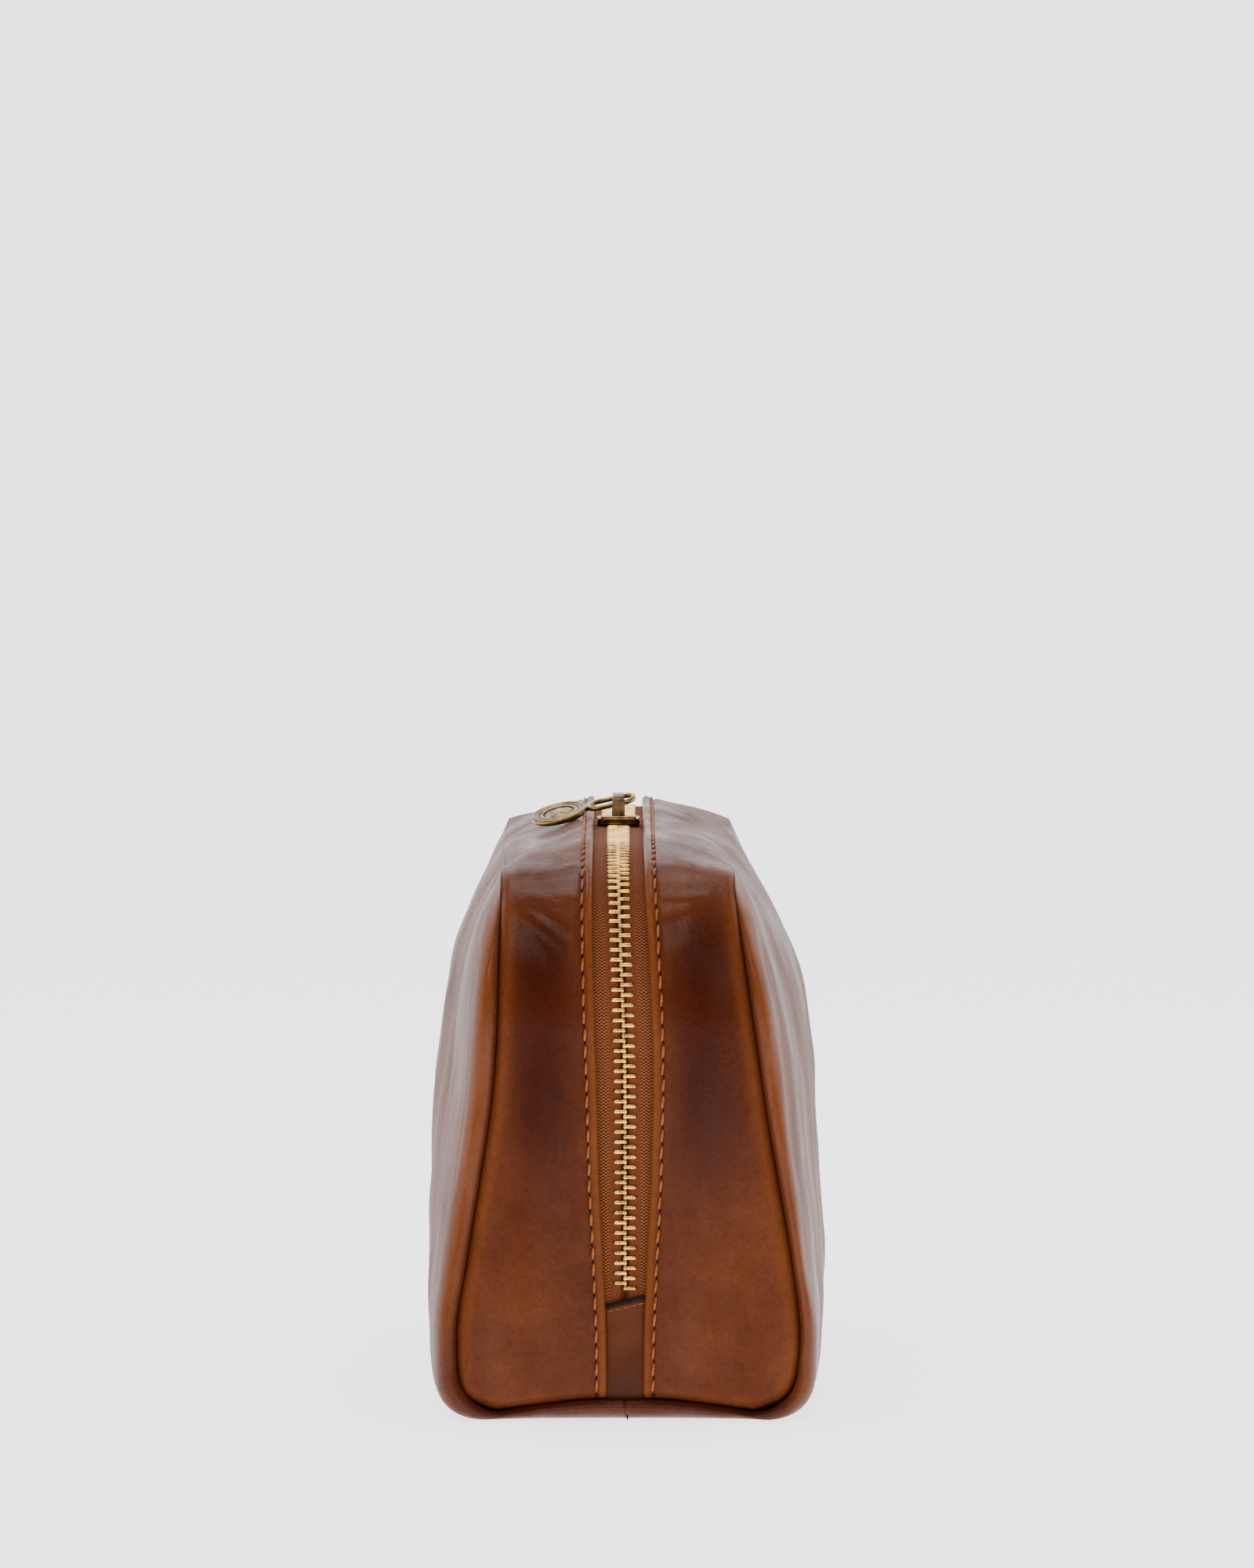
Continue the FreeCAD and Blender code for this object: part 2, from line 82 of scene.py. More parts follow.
BENDS = ((95.0, 20.0), (22.0, 40.0), (60.0, 30.0))     # radius and turn, from the top to the end
TAPE_TOP_Z = node_box("left_top_tape")[1][2]
TAPE_END_Y = node_box("front_left_tape")[0][1]
FOOT_Z = 5.5


def bend_table():
    """Each bend's radius and angles, and how far all of them run along and drop."""
    rows, start, run, drop = [], 0.0, 0.0, 0.0
    for radius, turn in BENDS:
        a, b = math.radians(start), math.radians(start + turn)
        rows.append((radius, a, b))
        run += radius * (math.sin(b) - math.sin(a))
        drop += radius * (math.cos(a) - math.cos(b))
        start += turn
    return rows, run, drop


BEND_ROWS, BEND_RUN, BEND_DROP = bend_table()
ZIP_OUT = -TAPE_END_Y                                  # how far out the tape runs down each end
FLAT = ZIP_OUT - BEND_RUN                              # half the straight run along the top
BEND_TOP = TAPE_TOP_Z - BEND_DROP                      # where the vertical run starts
BEND_LENGTH = sum(radius * (b - a) for radius, a, b in BEND_ROWS)
FOOT_U = FLAT + BEND_LENGTH + BEND_TOP - FOOT_Z


def path(u):
    """Place (y, z) and outward direction (y, z) at distance u from the top's centre, front positive."""
    u = np.asarray(u, float)
    side = np.where(u >= 0, 1.0, -1.0)
    far = np.abs(u)
    y = -np.minimum(far, FLAT)
    z = np.full_like(far, TAPE_TOP_Z)
    angle = np.zeros_like(far)
    left = far - FLAT
    for radius, a, b in BEND_ROWS:
        turn = np.clip(left / radius, 0.0, b - a)
        y = y - radius * (np.sin(a + turn) - math.sin(a))
        z = z - radius * (math.cos(a) - np.cos(a + turn))
        angle = angle + turn
        left = left - radius * (b - a)
    z = z - np.maximum(left, 0.0)
    return side * y, z, -side * np.sin(angle), np.cos(angle)


def u_at_height(z):
    """Distance along the front half of the path where it has come down to height z."""
    samples = np.linspace(FLAT, FOOT_U, 1200)
    return np.interp(-z, -path(samples)[1], samples)


def off_path(u, x, height):
    """Points at x across the zip and height above the tape."""
    y, z, ny, nz = path(u)
    return np.stack([x + 0.0 * y, y + ny * height, z + nz * height], -1)


# ---------------------------------------------------------------- small mathematics

def smooth(value, low=0.0, high=1.0):
    """0 below low, 1 above high, and an easy slope between."""
    t = np.clip((np.asarray(value, float) - low) / (high - low), 0.0, 1.0)
    return t * t * (3.0 - 2.0 * t)


def bell(value, width, power=2):
    """1 at zero, falling away over the width."""
    return np.exp(-(value / width) ** power)


def curve_through(points):
    """A smooth function through (place, value) pairs that never overshoots between them."""
    xs, ys = np.array(sorted(points)).T
    steps = np.diff(xs)
    slopes = np.diff(ys) / steps
    tangents = np.zeros_like(ys)
    tangents[0], tangents[-1] = slopes[0], slopes[-1]
    same = slopes[1:] * slopes[:-1] > 0
    middle = 2.0 / (1.0 / np.where(same, slopes[1:], 1.0) + 1.0 / np.where(same, slopes[:-1], 1.0))
    tangents[1:-1] = np.where(same, middle, 0.0)

    def value(x):
        x = np.clip(np.asarray(x, float), xs[0], xs[-1])
        i = np.clip(np.searchsorted(xs, x, side="right") - 1, 0, len(xs) - 2)
        t = (x - xs[i]) / steps[i]
        return ((1 + 2 * t) * (1 - t) ** 2 * ys[i] + t * (1 - t) ** 2 * steps[i] * tangents[i]
                + t * t * (3 - 2 * t) * ys[i + 1] + t * t * (t - 1) * steps[i] * tangents[i + 1])
    return value


def waves(seed, count, low, high):
    """A smooth random function of one or two variables: a sum of sines, within about -1 to 1."""
    rng = np.random.default_rng(seed)
    turn = rng.uniform(0, 2 * math.pi, count)
    rate = rng.uniform(low, high, count)
    phase = rng.uniform(0, 2 * math.pi, count)

    def value(a, b=0.0):
        total = 0.0
        for k in range(count):
            total = total + np.sin(rate[k] * (np.cos(turn[k]) * a + np.sin(turn[k]) * b) + phase[k])
        return total / math.sqrt(count)
    return value


def make_mesh(name, points, faces, uv=None, masks=None):
    """A mesh object from points in millimetres; uv and masks are given per point."""
    mesh = bpy.data.meshes.new(name)
    mesh.from_pydata((np.asarray(points) * MM).tolist(), [], [tuple(int(i) for i in f) for f in faces])
    mesh.validate()
    if uv is not None:
        layer = mesh.uv_layers.new(name="Surface")
        index = np.zeros(len(mesh.loops), int)
        mesh.loops.foreach_get("vertex_index", index)
        layer.data.foreach_set("uv", np.asarray(uv, np.float32)[index].ravel())
    for label, values in (masks or {}).items():
        layer = mesh.attributes.new(label, "FLOAT", "POINT")
        layer.data.foreach_set("value", np.asarray(values, np.float32).ravel())
    mesh.polygons.foreach_set("use_smooth", [True] * len(mesh.polygons))
    mesh.update()
    obj = bpy.data.objects.new(name, mesh)
    bpy.context.scene.collection.objects.link(obj)
    return obj


def grid_faces(rows, columns, offset=0, flip=False):
    """Quads over a grid of points stored row by row."""
    i, j = np.meshgrid(np.arange(rows - 1), np.arange(columns - 1), indexing="ij")
    low, high = i * columns + j, (i + 1) * columns + j
    quads = np.stack([low, low + 1, high + 1, high], -1).reshape(-1, 4) + offset
    return quads[:, ::-1] if flip else quads


def ring_faces(rings, sides, flip=False, closed=False):
    """Quads between rings of points that go round a form one after another."""
    faces = []
    for i in range(rings if closed else rings - 1):
        low, high = i * sides, (i + 1) % rings * sides
        for k in range(sides):
            n = (k + 1) % sides
            near, far = [low + k, low + n], [high + n, high + k]
            faces.append([near[0], far[1], far[0], near[1]] if flip else near + far)
    return faces


def caps(rings, sides):
    """The first and the last ring's own faces."""
    last = (rings - 1) * sides
    return [list(range(sides))[::-1], list(range(last, last + sides))]


def full_turn(count):
    """Evenly spaced angles round a circle."""
    return np.linspace(0.0, 2 * math.pi, count + 1)[:-1]


def squared(angle, power):
    """A circle's cosine and sine, swollen towards a square."""
    cos, sin = np.cos(angle), np.sin(angle)
    return np.sign(cos) * np.abs(cos) ** power, np.sign(sin) * np.abs(sin) ** power


def mirrored(points, side):
    """Points drawn on the +X side, put on the given side."""
    return points * np.array([side, 1.0, 1.0])


def merge(pieces):
    """Join (points, faces) pairs."""
    points, faces, count = [], [], 0
    for piece_points, piece_faces in pieces:
        faces += [[i + count for i in f] for f in piece_faces]
        points.append(piece_points)
        count += len(piece_points)
    return np.concatenate(points), faces


def read_points(obj, label="co"):
    """A mesh's points, or its points' normals."""
    values = np.zeros(len(obj.data.vertices) * 3)
    obj.data.vertices.foreach_get(label, values)
    return values.reshape(-1, 3)


def write_points(obj, points):
    """Set a mesh's points, in metres."""
    obj.data.vertices.foreach_set("co", points.ravel())
    obj.data.update()


def paint(obj, *mats):
    """Add materials to a piece, in order."""
    for mat in mats:
        obj.data.materials.append(mat)


# ---------------------------------------------------------------- the bag's form

CROWN_X = 30.5
CROWN_Z = 140.2
CROWN_SINK = CROWN_Z - TAPE_TOP_Z
APEX_Z = 137.0
APEX_U = float(u_at_height(APEX_Z))
APEX_RISE = 0.6
ROLL_Y = 112.0                 # where the walls start to round towards each end
HEM_RISE = 3.0

half_width_middle = curve_through([
    (0, 50.6), (10, 52.2), (31, 52.4), (52, 51.9), (73, 51.0), (94, 48.6), (107, 46.4), (115, 44.2),
    (123, 40.7), (128, 38.5), (132, 36.5), (136, 34.2), (138, 33.2), (139.4, 32.2), (140.2, 31.2)])
half_width_end = curve_through([
    (0, 48.4), (10, 49.5), (22, 49.8), (42, 47.3), (62, 44.9), (82, 42.4), (102, 40.2), (118, 37.6),
    (128, 35.0), (134, 33.0), (138, 31.8), (140.2, 31.0)])
seam_half = {
    LEFT: curve_through([(5, 40.6), (9, 42.6), (14, 43.4), (22, 43.6), (42, 40.8), (62, 37.6),
                         (82, 34.6), (103, 32.6), (123, 31.4), (137, 30.6)]),
    RIGHT: curve_through([(5, 41.0), (9, 43.2), (14, 44.6), (22, 45.2), (42, 43.0), (62, 39.6),
                          (82, 36.2), (103, 33.6), (123, 31.6), (137, 30.2)]),
}
slot_half = curve_through([(0, 4.7), (22, 4.9), (42, 5.7), (62, 6.7), (82, 7.2), (102, 7.5),
                           (122, 7.3), (140, 6.7), (147, 6.5)])


def lean_at(z):
    """How far the bag leans to the right at height z, as it stands."""
    return 1.8 * smooth(TAPE_TOP_Z + 3.0 - z, 0.0, 68.0)


def lean(points):
    """The points shifted as the bag leans."""
    points = np.array(points, float)
    points[..., 0] += lean_at(points[..., 2])
    return points


def half_width(z, y):
    """Half the bag's width at height z and place y, fuller towards the middle."""
    fullness = 1.0 - np.clip(np.abs(y) / ROLL_Y, 0.0, 1.0) ** 2.3
    return half_width_end(z) + (half_width_middle(z) - half_width_end(z)) * fullness


def strip_edge(u, side):
    """Half width of the strip beside the zip: to the seam on the ends, to the crown line on top."""
    z = path(u)[1]
    return np.where(np.abs(u) > APEX_U, seam_half[side](z), crown_x(u, side))


crown_waves = {LEFT: waves(127, 6, 0.04, 0.17), RIGHT: waves(131, 6, 0.04, 0.17)}


def crown_x(u, side):
    """How far the crown line is from the zip, drawn in or out to the apex near each end."""
    apex = float(seam_half[side](APEX_Z))
    near = smooth(np.abs(u), FLAT - 12.0, APEX_U)
    soft = CROWN_X + 0.8 * crown_waves[side](np.asarray(u, float))
    return soft + (apex - soft) * near


def crown_rise(u):
    """Height of the crown line over the tape's surface."""
    near = smooth(np.abs(u), FLAT, APEX_U)
    soft = CROWN_SINK + 0.5 * crown_waves[LEFT](np.asarray(u, float), 40.0)
    return soft + (APEX_RISE - soft) * near


def crown_point(u, side):
    """Points of the crown line, where strip and wall meet."""
    return off_path(u, crown_x(u, side), crown_rise(u))


# ---------------------------------------------------------------- the strip beside the zip

HEM_PROFILE = ((2.6, 0.35), (0.9, 0.35), (0.25, 0.5), (-0.05, 1.0), (-0.05, 1.7), (0.15, 2.35), (0.55, 2.8),
               (1.1, 3.05), (1.7, 3.0), (2.2, 2.75), (2.55, 2.5), (2.9, 2.6), (3.4, 2.9), (4.2, 3.1))
STITCH_INSET = 2.55
STRIP_COLUMNS = 30
STEP = 1.2


def strip_height(u, x, side):
    """Height of the leather over the tape between the hem and the strip's outer edge."""
    edge = strip_edge(u, side)
    z = path(u)[1]
    inner = slot_half(z)
    t = np.clip((x - inner) / (edge - inner), 0.0, 1.0)
    rise = crown_rise(u)
    on_top = HEM_RISE + (rise - HEM_RISE) * (0.72 * t ** 1.15 + 0.28 * t ** 5)
    if side < 0:
        on_top = on_top - 0.9 * bell(x - 18.0, 7.0)
    to_edge = np.clip(edge - x, 0.0, FAR)
    on_end = HEM_RISE - 0.4 * smooth(t, 0.0, 0.6) + 0.9 * np.sin(math.pi * np.clip(t, 0, 1)) ** 2
    on_end = on_end - 1.7 * bell(to_edge, 0.8, 1.5) - 1.3 * np.exp(-to_edge / 6.0)
    down = smooth(np.abs(u), APEX_U - 16.0, APEX_U + 9.0)
    return on_top * (1.0 - down) + on_end * down + wrinkles(u, x, side, t)


fan_waves = {LEFT: waves(11, 7, 14.0, 46.0), RIGHT: waves(23, 7, 14.0, 46.0)}
broad_waves = {LEFT: waves(31, 6, 0.05, 0.14), RIGHT: waves(47, 6, 0.05, 0.14)}
top_waves = {LEFT: waves(53, 6, 0.10, 0.35), RIGHT: waves(67, 6, 0.10, 0.35)}


def wrinkles(u, x, side, t):
    """Fine creases that fan out from each corner apex, and broad soft waves in the hide."""
    far = np.abs(u)
    down = far - APEX_U
    across = seam_half[side](APEX_Z) - x
    reach = np.hypot(down, across)
    angle = np.arctan2(down, across + 2.0)
    fan = fan_waves[side](angle, 0.012 * reach) * bell(angle - 0.35, 0.8)
    fan = fan * smooth(reach, 2.0, 10.0) * (1.0 - smooth(reach, 20.0, 62.0))
    ends = smooth(far, FLAT - 10.0, APEX_U)
    broad = broad_waves[side](np.asarray(u, float), 1.4 * x)
    along = top_waves[side](0.25 * np.asarray(u, float), 2.2 * x) * (1.0 - ends)
    middle = np.sin(math.pi * np.clip(t, 0.0, 1.0)) ** 1.2
    return 0.14 * fan * ends * smooth(t, 0.04, 0.2) + (0.30 * broad + 0.10 * along) * middle


def hem_blend(u, offset, height, base, side):
    """The hem's profile, eased into the panel's surface and slightly uneven along its length."""
    eased = height + (base - HEM_PROFILE[-1][1]) * smooth(offset, 0.0, 4.2)
    return eased + 0.12 * top_waves[side](0.9 * u, 0 * u) * smooth(height, 0.5, 2.5)


def strip_grid(side):
    """Rows along the zip and columns from under the hem out to the seam or the crown line."""
    us = strip_rows()
    z = path(us)[1]
    inner = slot_half(z)[:, None]
    edge = strip_edge(us, side)[:, None]
    hem = np.array(HEM_PROFILE)
    xs_hem = inner + hem[:, 0][None, :]
    start = inner + hem[-1, 0]
    t = np.linspace(0.0, 1.0, STRIP_COLUMNS + 1)[1:]
    t = t + 0.10 * np.sin(2 * math.pi * t) / (2 * math.pi) * 4.0
    xs = start + (edge - start) * t[None, :]
    u = us[:, None]
    body = strip_height(u + 0 * xs, xs, side)
    base = strip_height(u + 0 * start, start, side)
    hem_height = hem_blend(u, hem[:, 0][None, :], hem[:, 1][None, :], base, side)
    under = (np.abs(u) > APEX_U + 2.0) * 1.0
    x = np.concatenate([xs_hem, xs, edge + 1.3 * under], 1)
    height = np.concatenate([hem_height, body, body[:, -1:] - 2.6 * under], 1)
    points = off_path(np.broadcast_to(u, x.shape), x, height)
    return settle_foot(points), np.stack([np.broadcast_to(u, x.shape), x], -1)


def strip_rows():
    """Distances along the zip, with a row on each apex."""
    top = 2 * int(round(APEX_U / STEP))
    end = 2 * int(round((FOOT_U - APEX_U) / (2 * STEP)))
    upper = np.linspace(APEX_U, -APEX_U, top + 1)
    lower = np.linspace(FOOT_U, APEX_U, end + 1)[:-1]
    return np.concatenate([lower, upper, -lower[::-1]])


def bottom_seam_z(x):
    """Height of the seam along the bottom of each end panel."""
    return 6.0 - 3.3 * np.clip(np.abs(x) / 33.0, 0.0, 1.0) ** 2 + 2.4 * smooth(np.abs(x), 33.0, 42.0)


def settle_foot(points):
    """Bend the lowest part of each end panel down or up to the curved bottom seam, and tuck it in."""
    z = points[..., 2]
    near = 1.0 - smooth(z, FOOT_Z, FOOT_Z + 24.0)
    target = bottom_seam_z(points[..., 0])
    points[..., 2] = z + near * (target - FOOT_Z)
    above = np.clip(points[..., 2] - target, 0, FAR)
    tuck = 2.6 * bell(above, 1.6, 1.4) + 0.9 * np.exp(-above / 6.0)
    points[..., 1] -= np.sign(points[..., 1]) * tuck * (z < 60.0)
    return points


# ---------------------------------------------------------------- the wall: base, side and rolled rim

BASE_ROWS, CORNER_ROWS = 34, 14
ROLL_COLUMNS = 22
BASE_FLAT = 40.0
CORNER_RADIUS = 10.0
rim_waves = {LEFT: waves(71, 6, 0.12, 0.5), RIGHT: waves(83, 6, 0.12, 0.5)}
wall_waves = {LEFT: waves(91, 8, 0.03, 0.09), RIGHT: waves(97, 8, 0.03, 0.09)}
crease_waves = {LEFT: waves(101, 8, 0.12, 0.42), RIGHT: waves(103, 8, 0.12, 0.42)}
ripple_waves = {LEFT: waves(107, 9, 0.10, 0.34), RIGHT: waves(109, 9, 0.10, 0.34)}


def wall_rows():
    """Row tables from the base's centre line to the crown: kind of row and how far along it is."""
    side_rows = 2 * int(round((CROWN_Z - CORNER_RADIUS) / (2 * STEP)))
    rows = [("base", k / BASE_ROWS) for k in range(BASE_ROWS)]
    rows += [("corner", k / CORNER_ROWS) for k in range(CORNER_ROWS)]
    rows += [("side", k / side_rows) for k in range(side_rows + 1)]
    return rows


def seam_point(kind, t, side):
    """Place (x, z) on an end panel's seam, and the outward direction there."""
    radius = 11.0
    low = float(seam_half[side](14.0))
    if kind == "base":
        x = t * (low - radius)
        return x, float(bottom_seam_z(x)), 0.0, -1.0
    if kind == "corner":
        angle = t * math.pi / 2.0
        x = low - radius + radius * math.sin(angle)
        z = float(bottom_seam_z(low - radius)) + radius * (1.0 - math.cos(angle))
        return x, z, math.sin(angle), -math.cos(angle)
    bottom = float(bottom_seam_z(low - radius)) + radius
    z = bottom + (APEX_Z - bottom) * t
    return float(seam_half[side](z)), z, 1.0, 0.25 * smooth(t, 0.6, 1.0)


def bezier(p0, p1, p2, p3, t):
    """Points on a cubic curve."""
    t = t[:, None]
    return (1 - t) ** 3 * p0 + 3 * (1 - t) ** 2 * t * p1 + 3 * (1 - t) * t * t * p2 + t ** 3 * p3


def wall_row(kind, t, side, crown):
    """One row of the wall, from the front seam, over the rolled rim, to the rear seam."""
    count = len(crown)
    inner_count = count - 2 * ROLL_COLUMNS
    seam_x, seam_z, out_x, out_z = seam_point(kind, t, side)
    taper = smooth(t, 0.80, 1.0) if kind == "side" else 0.0
    roll_y = ROLL_Y + (96.0 - ROLL_Y) * taper
    y = np.linspace(-roll_y, roll_y, inner_count)
    if kind == "base":
        x, z = np.full_like(y, BASE_FLAT * t), np.zeros_like(y)
    elif kind == "corner":
        angle = t * math.pi / 2.0
        x = half_width(CORNER_RADIUS, y) - CORNER_RADIUS * (1 - math.sin(angle))
        z = np.full_like(y, CORNER_RADIUS * (1.0 - math.cos(angle)))
    else:
        crown_z = np.interp(y, crown[:, 1], crown[:, 2])
        z = CORNER_RADIUS + (crown_z - CORNER_RADIUS) * t
        level = CORNER_RADIUS + (CROWN_Z - CORNER_RADIUS) * t
        x = half_width(level, y)
    middle = np.stack([x, y, z], -1)
    outline = float(np.interp(seam_z, PROFILE_Z, PROFILE_Y))
    rows = []
    for end in (-1.0, 1.0):
        start = middle[0] if end < 0 else middle[-1]
        seam = np.array([seam_x, end * (outline - 2.7), seam_z])
        push = 2.6 * (1.0 - 0.6 * taper)
        lift = 5.2 * (1.0 - 0.75 * taper)
        handle_a = start + np.array([0.0, end * 10.5 * (1.0 - 0.35 * taper), 0.0])
        handle_b = seam + np.array([push * out_x, end * lift, push * out_z])
        if kind != "side":
            handle_b[2] = max(handle_b[2], -1.2)
        rows.append(bezier(seam, handle_b, handle_a, start, np.linspace(0.0, 1.0, ROLL_COLUMNS + 1)[:-1]))
    return np.concatenate([rows[0], middle, rows[1][::-1]], 0)


def profile_table():
    """Outer outline of the ends: distance from the middle by height."""
    us = np.linspace(FLAT, FOOT_U + 6.0, 900)
    y, z, ny, nz = path(us)
    return (z + nz * HEM_RISE)[::-1], (-(y + ny * HEM_RISE))[::-1]


PROFILE_Z, PROFILE_Y = profile_table()


def wall_grid(side):
    """Rows from the base's centre line up to the crown, columns from the front seam to the rear."""
    us = strip_rows()
    us = us[np.abs(us) <= APEX_U + 1e-6]
    crown = crown_point(us, side)
    rows = [wall_row(kind, t, side, crown) for kind, t in wall_rows()]
    points = np.array(rows)
    side_start = BASE_ROWS + CORNER_ROWS
    count = len(points) - side_start
    t = np.linspace(0.0, 1.0, count)
    pull = smooth(t, 0.90, 1.0)[:, None, None] ** 1.5
    points[side_start:] = points[side_start:] * (1.0 - pull) + crown[None] * pull
    return smooth_rows(points, side)


def smooth_rows(points, side):
    """Soften the wall, then give it its broad hollows, soft creases and the puckered rim."""
    for _ in range(14):
        inner = points[1:-1, 1:-1]
        average = (points[:-2, 1:-1] + points[2:, 1:-1] + points[1:-1, :-2] + points[1:-1, 2:]) / 4.0
        points[1:-1, 1:-1] = inner + 0.5 * (average - inner)
    normals = grid_normals(points)
    rows, columns = points.shape[:2]
    from_end = np.minimum(np.arange(columns), np.arange(columns)[::-1])[None, :]
    rim = bell(from_end - 8.0, 6.0)
    rise = smooth(np.arange(rows), BASE_ROWS + 4, BASE_ROWS + CORNER_ROWS + 24)[:, None]
    fade = 1.0 - smooth(np.arange(rows), rows - 22, rows - 1)[:, None]
    y, z = points[..., 1], points[..., 2]
    body = smooth(from_end, 6.0, 34.0) * rise * fade
    push = body * (0.9 * wall_waves[side](y, z) + 0.16 * crease_waves[side](0.35 * y, z + 0.2 * y)
                   + 0.22 * ripple_waves[side](y, 0.35 * z + 0.1 * y))
    push = push + rim * 0.22 * rim_waves[side](z, points[..., 0]) * fade
    push[:, 0] = push[:, -1] = 0.0
    return points + normals * push[..., None]


def grid_normals(points):
    """Outward directions over a grid of points."""
    du = np.gradient(points, axis=0)
    dv = np.gradient(points, axis=1)
    n = np.cross(dv, du)
    n /= np.maximum(np.linalg.norm(n, axis=-1, keepdims=True), 1e-9)
    outward = np.sign(np.mean(np.sum(n * (points - MIDDLE), -1)))
    return n * (outward if outward != 0 else 1.0)


# ---------------------------------------------------------------- leather halves

FOLD = np.array([35.7, 0.0, 137.1])
FOLD_AIM = np.array([-0.51, 0.0, 0.86])
FOLD_NEAR, FOLD_FAR = 1.0, 19.0
LEATHER_THICK, TAPE_THICK, LINING_THICK, POCKET_THICK, TAB_THICK = 1.3, 0.55, 0.5, 0.7, 1.15


def bend_with_flap(obj, side):
    """Bake a piece's transform into its points; the ends of the fold on its side are worked out, but nothing
    uses them.
    """
    start, end = (tuple(mirrored(FOLD + FOLD_AIM * far, side) * MM) for far in (FOLD_NEAR, FOLD_FAR))
    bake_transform(obj)
    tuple(start)
    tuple(end)


def end_distance(wall):
    """How many columns each point of the wall is from the nearer end, as a row."""
    columns = np.arange(wall.shape[1])
    return np.minimum(columns, columns[::-1])[None, :]


def leather_masks(strip_uv, wall, side):
    """How glossy each point is, how burnished by wear, and how dark: a darker patch on each end panel, and
    painted shade along the wall's seam edges and underside.
    """
    u, x = strip_uv[..., 0], strip_uv[..., 1]
    z = path(u)[1]
    far = np.abs(u)
    from_hem = x - slot_half(z)
    from_seam = np.where(far > APEX_U - 6.0, strip_edge(u, side) - x, FAR)
    worn = 0.8 * bell(np.clip(from_hem, 0, FAR), 1.7) + 0.4 * bell(from_seam - 2.0, 1.8)
    ends = smooth(far, APEX_U - 14.0, APEX_U + 4.0)
    deep = ends * bell(x - 21.0, 9.5) * smooth(z, 44.0, 84.0) * (1.0 - smooth(z, 120.0, 138.0))
    from_end, wall_z = end_distance(wall), wall[..., 2]
    wall_worn = 0.60 * bell(from_end - 9.0, 6.0) * smooth(wall_z, 8.0, 40.0)
    # painted shade: the wall darkens at its seam edges and along the base, where shade falls
    wall_shade = 0.35 * bell(from_end, 3.0) + 0.55 * (1.0 - smooth(wall_z, 0.5, 9.0))
    shine = 1.0 - 0.62 * smooth(far, APEX_U - 2.0, APEX_U + 26.0)
    return {"shine": np.append(shine, np.ones(wall_z.size)), "worn": np.append(worn, wall_worn),
            "deep": np.append(deep, wall_shade)}


def join_grids(strip, strip_uv, wall, side, row_step):
    """Points, faces and flat coordinates of a strip and a wall as one sheet."""
    points = np.concatenate([strip.reshape(-1, 3), wall.reshape(-1, 3)])
    girth = np.broadcast_to(np.arange(len(wall))[:, None] * row_step, wall.shape[:2])
    wall_uv = np.stack([wall[..., 1], 300.0 + girth], -1)
    uv = np.concatenate([strip_uv.reshape(-1, 2), wall_uv.reshape(-1, 2)]) * MM
    faces = np.concatenate([grid_faces(*strip.shape[:2], 0, side > 0),
                            grid_faces(*wall.shape[:2], strip[..., 0].size, side < 0)])
    return lean(mirrored(points, side)), faces, uv


def leather_half(side, name):
    """One half of the hide: end strips, top, side and base in one skin."""
    strip, strip_uv = strip_grid(side)
    wall = wall_grid(side)
    obj = make_mesh(name + "_leather_half", *join_grids(strip, strip_uv, wall, side, STEP),
                    leather_masks(strip_uv, wall, side))
    weld(obj)
    paint(obj, leather_material())
    thicken(obj, LEATHER_THICK)
    nodes = [name + "_" + part for part in ("side_panel", "base_panel", "top_panel")]
    nodes += [end + "_" + name + "_end_panel" for _, end in ENDS]
    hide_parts(*nodes)
    bend_with_flap(obj, side)


def weld(obj, distance=0.02):
    """Join points closer than a distance in millimetres, and turn all faces one way."""
    bm = bmesh.new()
    bm.from_mesh(obj.data)
    bmesh.ops.remove_doubles(bm, verts=bm.verts, dist=distance * MM)
    bmesh.ops.recalc_face_normals(bm, faces=bm.faces)
    bm.to_mesh(obj.data)
    bm.free()


def face_outward(obj):
    """Turn an open sheet's faces away from the middle of the bag."""
    total = sum((face.center - Vector(MIDDLE * MM)).dot(face.normal) for face in obj.data.polygons)
    if total < 0:
        obj.data.flip_normals()


def thicken(obj, thickness):
    """Give a sheet its thickness, inwards."""
    shell = obj.modifiers.new("Thickness", "SOLIDIFY")
    shell.thickness = thickness * MM
    shell.offset = -1.0


# ---------------------------------------------------------------- zip tape and teeth

SLIDER_BOX = node_box("slider_body")
CHAIN_TOP_Z = 146.98           # just over the teeth on the straight top
SLIDER_Y = float(SLIDER_BOX[0][1] + SLIDER_BOX[1][1]) / 2.0
FLANGE_GAP = (145.30, 146.70)  # the height left between the slider's upper and lower flanges
PARTED = 1.7                   # how far each row stands out where the zip is open
TAPE_EDGE = 1.9
TAPE_PROFILE = (   # place across from the inner edge, height
    (-1.85, -1.12), (-1.3, -1.10), (-1.1, -0.80), (-0.75, -0.18), (0.0, -0.05), (0.6, 0.0), (1.1, 0.02),
    (1.8, 0.0), (2.6, 0.05), (3.6, 0.04), (4.8, 0.0), (6.4, -0.05), (8.1, -0.1))
TOOTH_PITCH = 2.62
TOOTH_SINK = 0.3               # how far a tooth's middle lies under the tape's surface
CHAIN_FOOT_Z = 33.6
STOP_HEIGHTS = (26.6, 29.4)
STOP_SHIFT = 0.9               # as far as the bag leans at that height
TAB_TOP_Z = 31.7


def parted(u):
    """How far the zip's inner edges have moved apart at a distance along it: open behind the slider."""
    return PARTED * smooth(-np.asarray(u, float), SLIDER_Y - 1.5, SLIDER_Y + 1.5)


